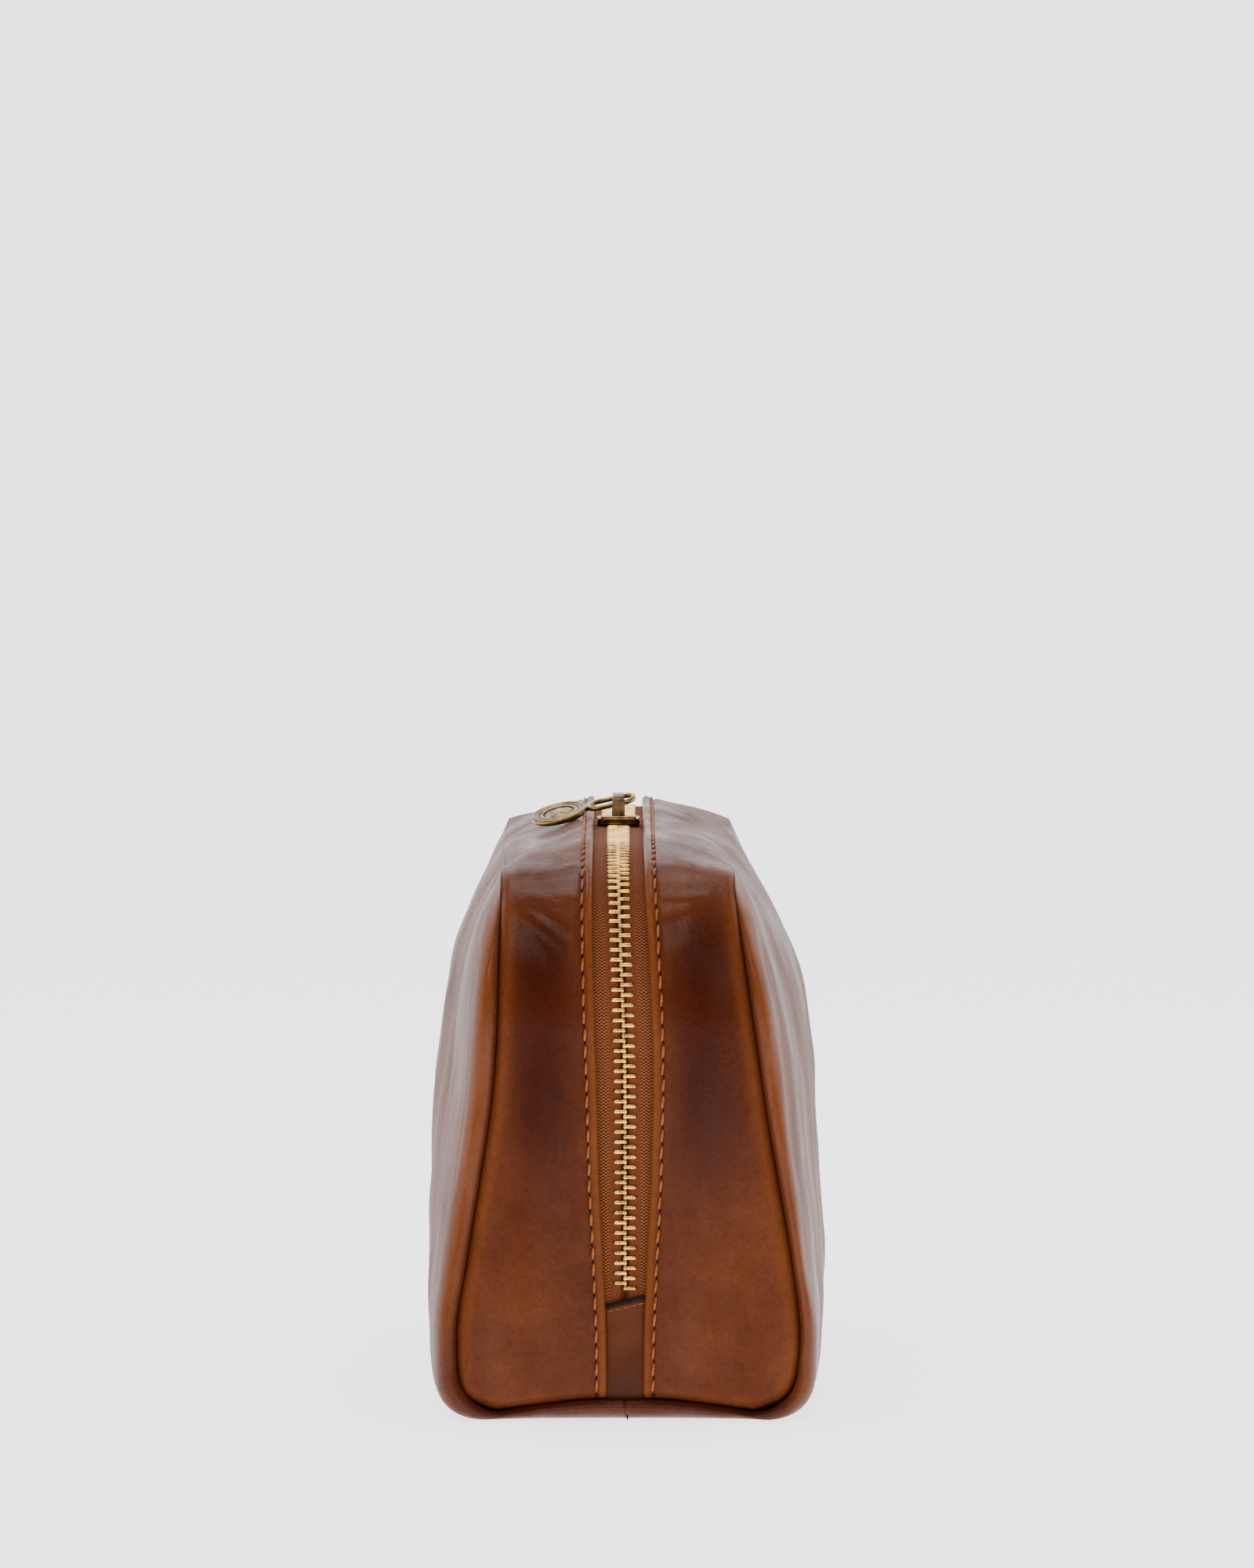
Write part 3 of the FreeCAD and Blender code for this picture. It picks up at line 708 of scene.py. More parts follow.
def tape(side, name):
    """One tape: a raised cord that the teeth grip, then a flat woven band under the hem."""
    us = np.linspace(FOOT_U - 3.0, -FOOT_U + 3.0, 420)
    across, rise = np.array(TAPE_PROFILE).T
    u = us[:, None] + 0.0 * across
    x = TAPE_EDGE + across + parted(u) * (1.0 - smooth(across, 3.0, 8.0))
    ripple = 0.10 * waves(5 if side < 0 else 6, 5, 0.08, 0.3)(u, x) * smooth(across, 1.2, 3.0)
    points = lean(mirrored(off_path(u, x, rise - 0.02 + ripple), side))
    uv = np.stack([u, x], -1).reshape(-1, 2) * MM
    faces = grid_faces(*u.shape, 0, side > 0)
    obj = make_mesh(name + "_zip_tape", points.reshape(-1, 3), faces, uv)
    paint(obj, tape_material())
    face_outward(obj)
    thicken(obj, TAPE_THICK)
    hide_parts(*[end + "_" + name + "_tape" for _, end in ENDS], name + "_top_tape")
    bend_with_flap(obj, side)


TOOTH_SECTIONS = (   # place across the zip, half length along it, height over the tape's middle
    (3.05, 0.34, 0.42), (2.92, 0.50, 0.70), (2.5, 0.56, 0.86), (1.7, 0.57, 0.90), (1.0, 0.55, 0.88),
    (0.55, 0.52, 0.84), (0.3, 0.60, 0.86), (-0.05, 0.65, 0.84), (-0.36, 0.62, 0.76), (-0.52, 0.48, 0.58),
    (-0.60, 0.26, 0.36))


def tooth_shape():
    """Points (along, across, height) and faces of one tooth: a ribbed bar with a rounded head."""
    wide, tall = squared(full_turn(12), 0.55)
    rings = [np.stack([half * wide, np.full(12, x), high * tall], -1) for x, half, high in TOOTH_SECTIONS]
    return np.concatenate(rings), ring_faces(len(rings), 12) + caps(len(rings), 12)


def teeth(side, name):
    """One row of teeth, set half a pitch on from the other row."""
    shape, faces = tooth_shape()
    phase = 0.0 if side < 0 else 0.5
    reach = float(u_at_height(CHAIN_FOOT_Z)) / TOOTH_PITCH
    row = []
    for index in range(math.ceil(-reach - phase), math.floor(reach - phase) + 1):
        u = (index + phase) * TOOTH_PITCH
        y, z, ny, nz = path(np.array(u))
        along, up = np.array([0.0, -nz, ny]), np.array([0.0, ny, nz])
        placed = np.array([0.0, y, z]) + shape[:, :1] * along + (shape[:, 2:] - TOOTH_SINK) * up
        placed[:, 0] = (shape[:, 1] + float(parted(u))) * side
        row.append((placed, faces))
    points, faces = merge(row)
    obj = make_mesh(name + "_zip_teeth", lean(points), faces)
    weld(obj, 0.001)
    paint(obj, metal_material("tooth_brass"))
    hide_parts(*[end + "_" + name + "_teeth" for _, end in ENDS], name + "_top_teeth")
    bend_with_flap(obj, side)


# ---------------------------------------------------------------- stitching

STITCH_PITCH = 4.35
THREAD = 0.40                  # radius


def hem_point(u, x, side):
    """A point on the leather's surface beside the hem, on the +X side, and its outward direction."""
    u, x = np.asarray(u, float), np.asarray(x, float)
    inner = slot_half(path(u)[1])
    hem = np.array(HEM_PROFILE[5:])
    height = np.interp(x - inner, hem[:, 0], hem[:, 1])
    base = strip_height(u, inner + HEM_PROFILE[-1][0], side)
    return settle_foot(off_path(u, x, hem_blend(u, x - inner, height, base, side)))


def tube(line, radius, sides=7):
    """Points and faces of a round thread along a line of points, pinched at both ends."""
    line = np.asarray(line, float)
    along = np.gradient(line, axis=0)
    along /= np.linalg.norm(along, axis=1, keepdims=True)
    across = np.cross(along, np.array([0.0, 0.31, 0.95]))
    across /= np.linalg.norm(across, axis=1, keepdims=True)
    up = np.cross(across, along)
    angle = full_turn(sides)
    thick = radius * np.clip(np.sin(np.linspace(0.12, math.pi - 0.12, len(line))) ** 0.35, 0.2, 1.0)
    ring = (line[:, None, :] + thick[:, None, None] * (np.cos(angle)[None, :, None] * across[:, None, :]
            + np.sin(angle)[None, :, None] * up[:, None, :]))
    return ring.reshape(-1, 3), ring_faces(len(line), sides) + caps(len(line), sides)


def stitches(side, name):
    """The row of slanted stitches along a hem, and the needle hole between each two."""
    rng = np.random.default_rng(7 if side < 0 else 8)
    threads, holes = [], []
    t = np.linspace(0.0, 1.0, 9)
    for index in range(int((2 * FOOT_U - 3.0) / STITCH_PITCH)):
        u = FOOT_U - 1.5 - index * STITCH_PITCH
        place = u - 0.55 - t * (STITCH_PITCH - 1.05)
        inset = STITCH_INSET + side * 0.34 * (t - 0.5) + rng.normal(0, 0.05)
        _, z, ny, nz = path(place)
        line = hem_point(place, slot_half(z) + inset, side)
        rise = 0.05 + 0.26 * np.sin(math.pi * t) ** 0.6
        threads.append(tube(line + np.stack([0 * ny, ny, nz], -1) * rise[:, None], THREAD))
        holes.append(needle_hole(u + rng.normal(0, 0.04), side))
    for label, pieces, look in (("stitches", threads, "waxed_thread"),
                                ("needle_holes", holes, "needle_hole")):
        points, faces = merge(pieces)
        obj = make_mesh(name + "_hem_" + label, lean(mirrored(points, side)), faces)
        if side < 0:
            obj.data.flip_normals()
        paint(obj, matt_material(look))
        bend_with_flap(obj, side)


def needle_hole(u, side):
    """A small dimple where the thread goes in, near-black as painted shade for the hole."""
    _, z, ny, nz = path(np.array(u))
    centre = hem_point(np.array(u), slot_half(z) + STITCH_INSET, side)
    up, along = np.array([0.0, ny, nz]), np.array([0.0, -nz, ny])
    a = full_turn(10)[:, None]
    ring = centre + up * 0.10 + 0.44 * np.cos(a) * np.array([1.0, 0, 0]) + 0.60 * np.sin(a) * along
    faces = [list(range(10)), list(range(10, 20))[::-1]]
    return np.concatenate([ring, ring - up * 0.35]), faces + ring_faces(2, 10, flip=True)


# ---------------------------------------------------------------- leather tabs at the zip's feet

def zip_tab(end, name):
    """The leather tab between the hems, with a painted top edge and a row of stitches."""
    rows, columns = 46, 26
    v = np.linspace(0.0, 1.0, rows)[:, None]
    c = np.linspace(-1.0, 1.0, columns)[None, :]
    top = TAB_TOP_Z - 1.4 * c * end
    z = 4.8 + (top - 4.8) * v
    x = c * (slot_half(z) + 0.55)
    x, z = np.broadcast_arrays(x, z)
    bulge = 0.55 * (1.0 - np.abs(c) ** 2.4) + 0.10 * waves(19, 5, 0.2, 0.8)(x, z)
    sink = 1.9 * bell(np.clip(z - 5.0, 0, FAR), 2.4, 1.5) + 0.5 * smooth(np.abs(c), 0.9, 1.0)
    y = end * (ZIP_OUT + 1.05 + bulge - sink - 0.45 * smooth(v, 0.955, 1.0))
    obj = make_mesh(name + "_zip_tab_leather", lean(np.stack([x, y, z], -1).reshape(-1, 3)),
                    grid_faces(rows, columns, 0, end > 0), np.stack([x, z], -1).reshape(-1, 2) * MM)
    painted = (np.arange(len(obj.data.polygons)) // (columns - 1) >= rows - 3) * 1
    obj.data.polygons.foreach_set("material_index", painted.tolist())
    paint(obj, tab_material(), matt_material("painted_edge"))
    face_outward(obj)
    thicken(obj, TAB_THICK)
    obj.modifiers["Thickness"].material_offset_rim = 1
    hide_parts(name + "_zip_tab")
    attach(obj, "bag_body")
    tab_stitches(end, name)


def tab_stitches(end, name):
    """Five small stitches under the tab's painted edge."""
    t = np.linspace(0.0, 1.0, 7)
    pieces = []
    for index in range(5):
        x = -4.6 + (index + 0.08 + 0.84 * t) * 1.95
        y = end * (ZIP_OUT + 1.62 + 0.10 * np.sin(math.pi * t))
        pieces.append(tube(np.stack([x, y, TAB_TOP_Z - 1.9 - 0.24 * x * end], -1), 0.16))
    points, faces = merge(pieces)
    obj = make_mesh(name + "_tab_stitches", lean(points), faces)
    paint(obj, matt_material("waxed_thread"))
    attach(obj, "bag_body")


# ---------------------------------------------------------------- lining and pocket

LINING_GAP = 3.95              # from the leather's outer face to the lining's
LINING_COLUMN = 8              # first column of the strip that the lining covers
WALL_DEPTH = 7.6               # how far inside the ends' outline the wall's lining stays


def lining_half(side, name):
    """The lining follows the leather's form inside it, from under the tape down to the base."""
    strip, strip_uv = strip_grid(side)
    strip, strip_uv = strip[::2, LINING_COLUMN:], strip_uv[::2, LINING_COLUMN:]
    wall = wall_grid(side)[::2, ::2]
    from_seam = strip_edge(strip_uv[..., 0], side) - strip_uv[..., 1]
    on_end = smooth(np.abs(strip_uv[..., 0]), APEX_U - 14.0, APEX_U)
    depth = on_end * (LINING_GAP + 3.6 * bell(from_seam, 4.0))
    obj = make_mesh(name + "_lining", *join_grids(strip, strip_uv, wall, side, 2 * STEP),
                    {"depth": np.append(depth, np.full(wall[..., 0].size, WALL_DEPTH))})
    weld(obj)
    move_inward(obj, LINING_GAP)
    paint(obj, lining_material())
    thicken(obj, LINING_THICK)
    nodes = [name + "_side_lining", name + "_top_lining"]
    nodes += [end + "_" + name + "_end_lining" for _, end in ENDS]
    if side < 0:
        nodes.append("base_lining")
    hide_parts(*nodes)
    bend_with_flap(obj, side)


def move_inward(obj, distance):
    """Move a sheet in from the leather's form, and keep it clear of the seams and corners."""
    points, normals = read_points(obj), read_points(obj, "normal")
    outward = np.sign(np.mean(np.sum(normals * (points - MIDDLE * MM), -1)))
    if outward < 0:
        obj.data.flip_normals()
    x, y, z = (points / MM - normals * outward * distance).T
    z = np.maximum(z, distance)
    depth = np.zeros(len(z))
    obj.data.attributes["depth"].data.foreach_get("value", depth)
    limit = np.interp(z, PROFILE_Z, PROFILE_Y) - depth
    y = np.clip(y, -limit, limit)
    far = np.abs(y)
    room = half_width(z, far) - 3.4 - 3.0 * smooth(far, 100.0, 114.0) + 400.0 * (depth < WALL_DEPTH - 0.6)
    x = np.clip(x, lean_at(z) - room, lean_at(z) + room)
    write_points(obj, np.stack([x, y, z], -1) * MM)


def pocket():
    """The slip pocket's sheet and its bound mouth, against the left wall's lining."""
    for name, lift, mat in (("slip_pocket", 0.0, lining_material()),
                            ("pocket_band", 0.9, leather_material())):
        low, high = node_box(name)
        y, z = np.meshgrid(np.linspace(low[1], high[1], 90), np.linspace(low[2], high[2], 40))
        x = 6.1 + lift - half_width(z, y) + 0.25 * np.sin(y / 9.0) * smooth(z, 50.0, 92.0)
        points = lean(np.stack([x, y, z], -1)).reshape(-1, 3)
        obj = make_mesh(name + "_cloth", points, grid_faces(*x.shape), points[:, 1:] * MM)
        paint(obj, mat)
        face_outward(obj)
        thicken(obj, POCKET_THICK)
        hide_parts(name)
        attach(obj, "bag_body")


# ---------------------------------------------------------------- slider and pull

def slab(outline, low, high, bevel, name, mats):
    """A plate with the given outline (x, y), its edges rounded and worn bright."""
    count = len(outline)
    points = [(x, y, z) for z in (low, high) for x, y in outline]
    obj = make_mesh(name, points, caps(2, count) + ring_faces(2, count))
    paint(obj, *mats)
    soften(obj, bevel)
    return obj


def soften(obj, width):
    """Round the sharp edges, and give the rounded faces the second material."""
    weld(obj, 0.001)
    edge = obj.modifiers.new("Rounded", "BEVEL")
    edge.width = width * MM
    edge.segments = 3
    edge.limit_method = "ANGLE"
    edge.angle_limit = math.radians(34.0)
    edge.harden_normals = True
    edge.material = 1
    obj.data.polygons.foreach_set("use_smooth", [True] * len(obj.data.polygons))


def sweep_strap(line, half_widths, thickness):
    """A flat strap along a line in the plane x = 0."""
    line = np.asarray(line, float)
    along = np.gradient(line, axis=0)
    along /= np.linalg.norm(along, axis=1, keepdims=True)
    out = np.stack([-along[:, 1], along[:, 0]], -1) * thickness / 2.0
    rings = [[(x, *(place + offset)) for x, offset in ((-half, o), (half, o), (half, -o), (-half, -o))]
             for place, o, half in zip(line, out, half_widths)]
    return np.array(rings).reshape(-1, 3), ring_faces(len(rings), 4) + caps(len(rings), 4)


def turn_corner(centre, radius, start, end, count=7):
    """Points round a corner, from one angle to another."""
    angles = np.radians(np.linspace(start, end, count))
    return [(centre[0] + radius * math.cos(a), centre[1] + radius * math.sin(a)) for a in angles]


def slider():
    """Two plates with their flanges and front lip, and the strap over the top that holds the pull."""
    dark, bright = metal_material("antique_brass"), metal_material("worn_brass")
    low, high = SLIDER_BOX
    front, rear, wide = low[1], high[1], high[0]
    half = [(wide - 1.3, front), (wide - 0.15, front + 1.7), (wide - 0.5, front + 3.4),
            (wide - 0.1, front + 6.2), (wide, rear - 3.4), (wide - 1.4, rear), (1.3, rear)]
    other = [(-x, y) for x, y in half[::-1]]
    outline = other[-1:] + half + [(0.0, rear - 0.5)] + other[:-1]
    plates = [slab(outline, CHAIN_TOP_Z, high[2], 0.38, "slider_top_plate", (dark, bright)),
              slab(outline, low[2], low[2] + 1.3, 0.38, "slider_bottom_plate", (dark, bright))]
    for side, name in SIDES:
        for bottom, top, label in ((FLANGE_GAP[1], high[2] - 0.6, "upper"),
                                   (low[2] + 0.6, FLANGE_GAP[0], "lower")):
            x = sorted((side * (wide - 1.0), side * (wide - 0.08)))
            wall = [(x[0], front + 1.5), (x[1], front + 1.9), (x[1], rear - 3.4), (x[0], rear - 3.0)]
            plates.append(slab(wall, bottom, top, 0.2, "slider_" + name + "_" + label + "_flange",
                               (dark, bright)))
    bar = [(-wide + 1.0, front + 0.05), (wide - 1.0, front + 0.05), (wide - 1.0, front + 0.95),
           (-wide + 1.0, front + 0.95)]
    plates.append(slab(bar, high[2] - 1.35, high[2] + 0.5, 0.3, "slider_front_lip", (bright, bright)))
    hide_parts("slider_body")
    (_, front_y, _), (_, rear_y, top) = node_box("slider_bridge")
    foot = high[2] - 0.2
    line = [(front_y + 0.45, z) for z in np.linspace(foot, top - 2.1, 6)]
    line += turn_corner((front_y + 2.05, top - 2.05), 1.6, 180, 90)
    line += [(y, top - 0.45 + 0.0 * y) for y in np.linspace(front_y + 2.6, rear_y - 2.6, 6)]
    line += turn_corner((rear_y - 2.05, top - 2.05), 1.6, 90, 0)
    line += [(rear_y - 0.45, z) for z in np.linspace(top - 2.1, foot, 6)]
    place = np.linspace(0.0, 1.0, len(line))
    halves = 1.5 + 0.25 * (1.0 - smooth(place, 0.0, 0.45)) - 0.06 * smooth(place, 0.7, 1.0)
    points, faces = sweep_strap(line, halves, 0.88)
    strap = make_mesh("slider_bridge_strap", points, faces)
    paint(strap, metal_material("brushed_brass"), bright)
    soften(strap, 0.2)
    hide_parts("slider_bridge")
    for obj in plates + [strap]:
        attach(obj, "slider")


PIVOT = np.array([0.0, -0.35, 152.8])
PULL_TILT, PULL_DROP = 14.0, 12.6
LINK_ENDS = (-5.35, 1.5)
LINK_RADIUS = 2.74
MEDAL_REACH = 16.3
MEDAL_FACE = (
    (0.0, 0.62), (0.9, 0.60), (1.6, 0.50), (2.6, 0.42), (3.5, 0.42), (3.75, 0.30), (4.05, 0.30), (4.3, 0.50),
    (4.9, 0.54), (5.15, 0.50), (5.3, 0.34), (5.6, 0.34), (5.8, 0.60), (6.1, 0.66), (6.3, 0.48), (6.5, 0.48),
    (6.7, 0.74), (7.0, 0.80), (7.3, 0.72), (7.48, 0.40), (7.5, 0.0))


def lay_pull(points):
    """Turn points drawn flat, with the medallion towards -X, to where the pull lies."""
    tilt, drop = math.radians(PULL_TILT), math.radians(-PULL_DROP)
    x, y, z = np.asarray(points, float).T
    y, z = y * math.cos(tilt) - z * math.sin(tilt), y * math.sin(tilt) + z * math.cos(tilt)
    x, z = x * math.cos(drop) + z * math.sin(drop), -x * math.sin(drop) + z * math.cos(drop)
    return np.stack([x, y, z], -1) + PIVOT


def medallion():
    """A turned disc: stepped rim, two engraved rings and an eight-petalled rosette."""
    around = 96
    angle = full_turn(around)
    face = list(MEDAL_FACE) + [(r, -z) for r, z in MEDAL_FACE[::-1][1:]]
    rings = []
    for radius, height in face:
        petals = 0.14 * np.cos(8 * angle) * bell(radius - 2.4, 1.0) * (height > 0)
        beads = 0.07 * np.cos(40 * angle) * bell(radius - 4.6, 0.35) * (height > 0)
        r = max(radius, 0.02)
        rings.append(np.stack([r * np.cos(angle) - MEDAL_REACH, r * np.sin(angle),
                               height + petals + beads], -1))
    engraved = [0.25 < (a[1] + b[1]) / 2.0 < 0.42 and a[0] > 3.6 for a, b in zip(face, face[1:])]
    deep = np.repeat(engraved, around).astype(int).tolist()
    return np.concatenate(rings), ring_faces(len(rings), around, flip=True), deep


def pull():
    """Link, fishtail neck and medallion, cast in one."""
    middle, half = (LINK_ENDS[0] + LINK_ENDS[1]) / 2.0, (LINK_ENDS[1] - LINK_ENDS[0]) / 2.0
    turn = full_turn(72)
    out = np.stack([np.cos(turn), np.sin(turn), 0 * turn], -1)
    link = LINK_RADIUS * out
    link[:, 0] += middle + half * np.sign(np.cos(turn)) * (np.abs(np.cos(turn)) > 1e-9)
    round_x, round_z = squared(full_turn(12), 0.7)
    points = (link[:, None, :] + 0.62 * out[:, None, :] * round_x[None, :, None]
              + 0.70 * np.array([0, 0, 1.0]) * round_z[None, :, None]).reshape(-1, 3)
    ring = make_mesh("pull_link", lay_pull(points), ring_faces(72, 12, flip=True, closed=True))
    paint(ring, metal_material("worn_brass"))
    weld(ring, 0.001)
    x = np.linspace(-7.9, -9.6, 8)
    flare = 1.15 + 1.35 * np.linspace(0, 1, 8) ** 1.8
    outline = list(zip(x, flare)) + list(zip(x[::-1], -flare[::-1]))
    neck = slab(outline, -0.62, 0.62, 0.25, "pull_neck",
                (metal_material("aged_brass"), metal_material("worn_brass")))
    write_points(neck, lay_pull(read_points(neck) / MM) * MM)
    points, faces, deep = medallion()
    disc = make_mesh("pull_medallion", lay_pull(points), faces)
    paint(disc, metal_material("aged_brass"), metal_material("engraved_brass"))
    disc.data.polygons.foreach_set("material_index", deep)
    weld(disc, 0.03)
    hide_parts("medallion_pull")
    for obj in (ring, neck, disc):
        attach(obj, "pull")


# ---------------------------------------------------------------- materials

class Nodes:
    """A node tree, with one short call for each kind of node."""

    def __init__(self, tree):
        self.nodes, self.link = tree.nodes, tree.links.new

    def new(self, kind):
        return self.nodes.new("ShaderNode" + kind)

    def feed(self, socket, value):
        """Join an output to a socket, or set the socket to a number or a colour."""
        if isinstance(value, (int, float)):
            socket.default_value = value
        elif isinstance(value, tuple):
            socket.default_value = (*value, 1.0)
        else:
            self.link(value, socket)

    def ramp(self, value, *stops):
        """Colour by value; each stop is a place and a colour, or a place and a grey."""
        node = self.new("ValToRGB")
        self.link(value, node.inputs["Fac"])
        elements = node.color_ramp.elements
        while len(elements) < len(stops):
            elements.new(0.5)
        for element, (place, colour) in zip(elements, stops):
            element.position = place
            element.color = (*colour, 1.0) if isinstance(colour, tuple) else (colour, colour, colour, 1.0)
        return node.outputs["Color"]

    def maths(self, operation, a, b=None, clamp=False):
        """A maths node; each input is a socket or a number."""
        node = self.new("Math")
        node.operation = operation
        node.use_clamp = clamp
        for slot, value in enumerate((a, b)):
            if value is not None:
                self.feed(node.inputs[slot], value)
        return node.outputs[0]

    def times(self, a, b, clamp=False):
        return self.maths("MULTIPLY", a, b, clamp)

    def plus(self, a, b):
        return self.maths("ADD", a, b)

    def wave(self, value, length):
        """A sine of the given wavelength in metres."""
        return self.maths("SINE", self.times(value, 2 * math.pi / length))

    def mix(self, fac, a, b, blend="MIX"):
        """Mix two colours; each is a socket or a colour."""
        node = self.new("Mix")
        node.data_type = "RGBA"
        node.blend_type = blend
        for slot, value in (("Factor", fac), (6, a), (7, b)):
            self.feed(node.inputs[slot], value)
        return node.outputs[2]

    def split(self, vector):
        node = self.new("SeparateXYZ")
        self.link(vector, node.inputs["Vector"])
        return node.outputs


class Look(Nodes):
    """A material's nodes around its main shader."""

    def __init__(self, name):
        self.material = bpy.data.materials.new(name)
        self.material.use_nodes = True
        super().__init__(self.material.node_tree)
        self.shader = self.nodes["Principled BSDF"]
        self.where = self.new("TexCoord").outputs["Object"]

    def put(self, **values):
        """Feed the shader's sockets: coat_weight means Coat Weight."""
        for label, value in values.items():
            name = label.replace("_", " ").title().replace("Ior", "IOR")
            self.feed(self.shader.inputs[name], value)

    def noise(self, scale, detail=4.0, roughness=0.55, vector=None):
        node = self.new("TexNoise")
        node.inputs["Scale"].default_value = scale
        node.inputs["Detail"].default_value = detail
        node.inputs["Roughness"].default_value = roughness
        self.link(vector or self.where, node.inputs["Vector"])
        return node.outputs["Fac"]

    def mask(self, name):
        node = self.new("Attribute")
        node.attribute_name = name
        return node.outputs["Fac"]

    def bump(self, height, strength, distance):
        node = self.new("Bump")
        node.inputs["Strength"].default_value = strength
        node.inputs["Distance"].default_value = distance * MM
        self.link(height, node.inputs["Height"])
        self.put(normal=node.outputs["Normal"])
        return node.outputs["Normal"]

    def stretched(self, scale):
        node = self.new("Mapping")
        node.inputs["Scale"].default_value = scale
        self.link(self.where, node.inputs["Vector"])
        return node.outputs["Vector"]

    def surface(self):
        """The piece's own flat coordinates, in metres."""
        node = self.new("UVMap")
        node.uv_map = "Surface"
        return node.outputs["UV"]


def once(make):
    """Make each material once per argument."""
    made = {}

    def get(*key):
        if key not in made:
            made[key] = make(*key)
        return made[key]
    return get


LEATHER_DEEP = (0.068, 0.0150, 0.0056)
LEATHER_MID = (0.092, 0.0228, 0.0082)
LEATHER_PALE = (0.124, 0.0330, 0.0112)
# darker patches on the ends, and painted shade on the wall's seam edges and underside
LEATHER_DARK_AND_SHADE = (0.040, 0.0072, 0.0034)
LEATHER_WORN = (0.210, 0.058, 0.0120)


@once
def leather_material():
    """Glazed hide: clouded dye, darker patches, painted shade at the wall's seam edges and underside, worn
    places, pores, and a coat that comes and goes.
    """
    look = Look("glazed_leather")
    cloud = look.noise(42.0, 5.0, 0.6)
    tone = look.ramp(cloud, (0.30, LEATHER_DEEP), (0.50, LEATHER_MID), (0.70, LEATHER_PALE))
    uneven = look.plus(look.times(cloud, 1.2), 0.45)
    # the deep mask darkens patches on the end panels, and paints shade on the wall's seam edges and
    # underside
    tone = look.mix(look.times(look.mask("deep"), uneven, clamp=True), tone, LEATHER_DARK_AND_SHADE)
    tone = look.mix(look.times(look.mask("worn"), 0.75), tone, LEATHER_WORN)
    pores = look.ramp(look.noise(700.0, 4.0, 0.7), (0.36, (0.84, 0.82, 0.80)), (0.52, 1.0))
    look.put(base_color=look.mix(1.0, tone, pores, "MULTIPLY"), specular_ior_level=0.0,
             roughness=look.ramp(look.noise(60.0), (0.3, 0.30), (0.7, 0.42)))
    streak = look.noise(70.0, 4.0, 0.6, look.stretched((1.0, 0.55, 0.10)))
    gloss = look.ramp(streak, (0.34, 0.17), (0.50, 0.29), (0.64, 0.44))
    grain = look.noise(1300.0, 2.0)
    crease = look.noise(420.0, 5.0, 0.65, look.stretched((1.0, 1.0, 0.22)))
    normal = look.bump(look.plus(look.times(grain, 0.35), crease), 0.60, 0.30)
    look.put(coat_weight=look.times(gloss, look.mask("shine")), coat_roughness=0.20, coat_normal=normal)
    return look.material


@once
def tab_material():
    """Plainer leather, with painted shade darkening it towards the foot of the zip."""
    look = Look("tab_leather")
    # painted shade: the colour darkens down to the tab's foot, where it tucks into the bottom seam
    level = look.plus(look.split(look.where)["Z"], look.times(look.noise(160.0), 0.012))
    look.put(base_color=look.ramp(look.times(level, 25.0), (0.10, (0.022, 0.0052, 0.0022)),
                                  (0.75, (0.085, 0.020, 0.0060))),
             roughness=0.5, specular_ior_level=0.05, coat_weight=0.08, coat_roughness=0.3)
    look.bump(look.noise(900.0), 0.3, 0.25)
    return look.material


MATT = {   # noise scale, its detail, dark stop, light stop, roughness, specular level
    "painted_edge": (700.0, 3.0, (0.35, (0.0040, 0.0034, 0.0034)), (0.70, (0.0130, 0.0110, 0.0105)),
                     0.6, 0.15),
    "waxed_thread": (1800.0, 2.0, (0.35, (0.17, 0.042, 0.009)), (0.65, (0.34, 0.100, 0.020)), 0.6, 0.2),
    # near-black: painted shade inside each needle hole and along the base seam's crevice
    "needle_hole": (900.0, 2.0, (0.30, (0.008, 0.003, 0.002)), (0.70, (0.020, 0.007, 0.004)), 0.9, 0.1),
    "board": (500.0, 4.0, (0.30, (0.10, 0.075, 0.05)), (0.70, (0.18, 0.14, 0.10)), 0.9, 0.5),
}


@once
def matt_material(name):
    """A dull surface of one clouded colour."""
    scale, detail, low, high, roughness, specular = MATT[name]
    look = Look(name)
    look.put(base_color=look.ramp(look.noise(scale, detail), low, high), roughness=roughness,
             specular_ior_level=specular)
    return look.material


@once
def tape_material():
    """Herringbone columns beside a plain woven band, from the tape's own coordinates."""
    look = Look("zip_tape")
    along, across = look.split(look.surface())[:2]
    column = look.maths("PINGPONG", across, 0.00062)
    rib = look.wave(look.plus(along, look.times(column, 1.1)), 0.00085)
    cross = look.wave(across, 0.00048)
    weave = look.times(look.wave(along, 0.00062), cross)
    chosen = look.new("Mix")
    for slot, value in enumerate((look.maths("GREATER_THAN", across, 0.0040), None, weave, rib)):
        if value is not None:
            look.link(value, chosen.inputs[slot])
    level = look.plus(look.times(chosen.outputs[0], 0.42), 0.5)
    speckle = look.noise(2500.0, 2.0, vector=look.surface())
    level = look.times(level, look.plus(speckle, 0.5))
    look.put(base_color=look.ramp(level, (0.15, (0.040, 0.009, 0.0035)), (0.5, (0.105, 0.025, 0.0085)),
                                  (0.95, (0.33, 0.105, 0.032))),
             roughness=0.85, specular_ior_level=0.12)
    look.bump(level, 0.5, 0.15)
    return look.material


METALS = {   # dark tone, light tone, roughness
    "tooth_brass": ((0.34, 0.170, 0.042), (0.88, 0.54, 0.160), 0.27),
    "antique_brass": ((0.020, 0.014, 0.009), (0.085, 0.060, 0.034), 0.36),
    "worn_brass": ((0.16, 0.100, 0.036), (0.44, 0.295, 0.115), 0.30),
    "brushed_brass": ((0.090, 0.064, 0.038), (0.32, 0.235, 0.130), 0.34),
    "aged_brass": ((0.070, 0.044, 0.015), (0.30, 0.200, 0.072), 0.33),
    "engraved_brass": ((0.006, 0.004, 0.0025), (0.022, 0.015, 0.008), 0.6),
}


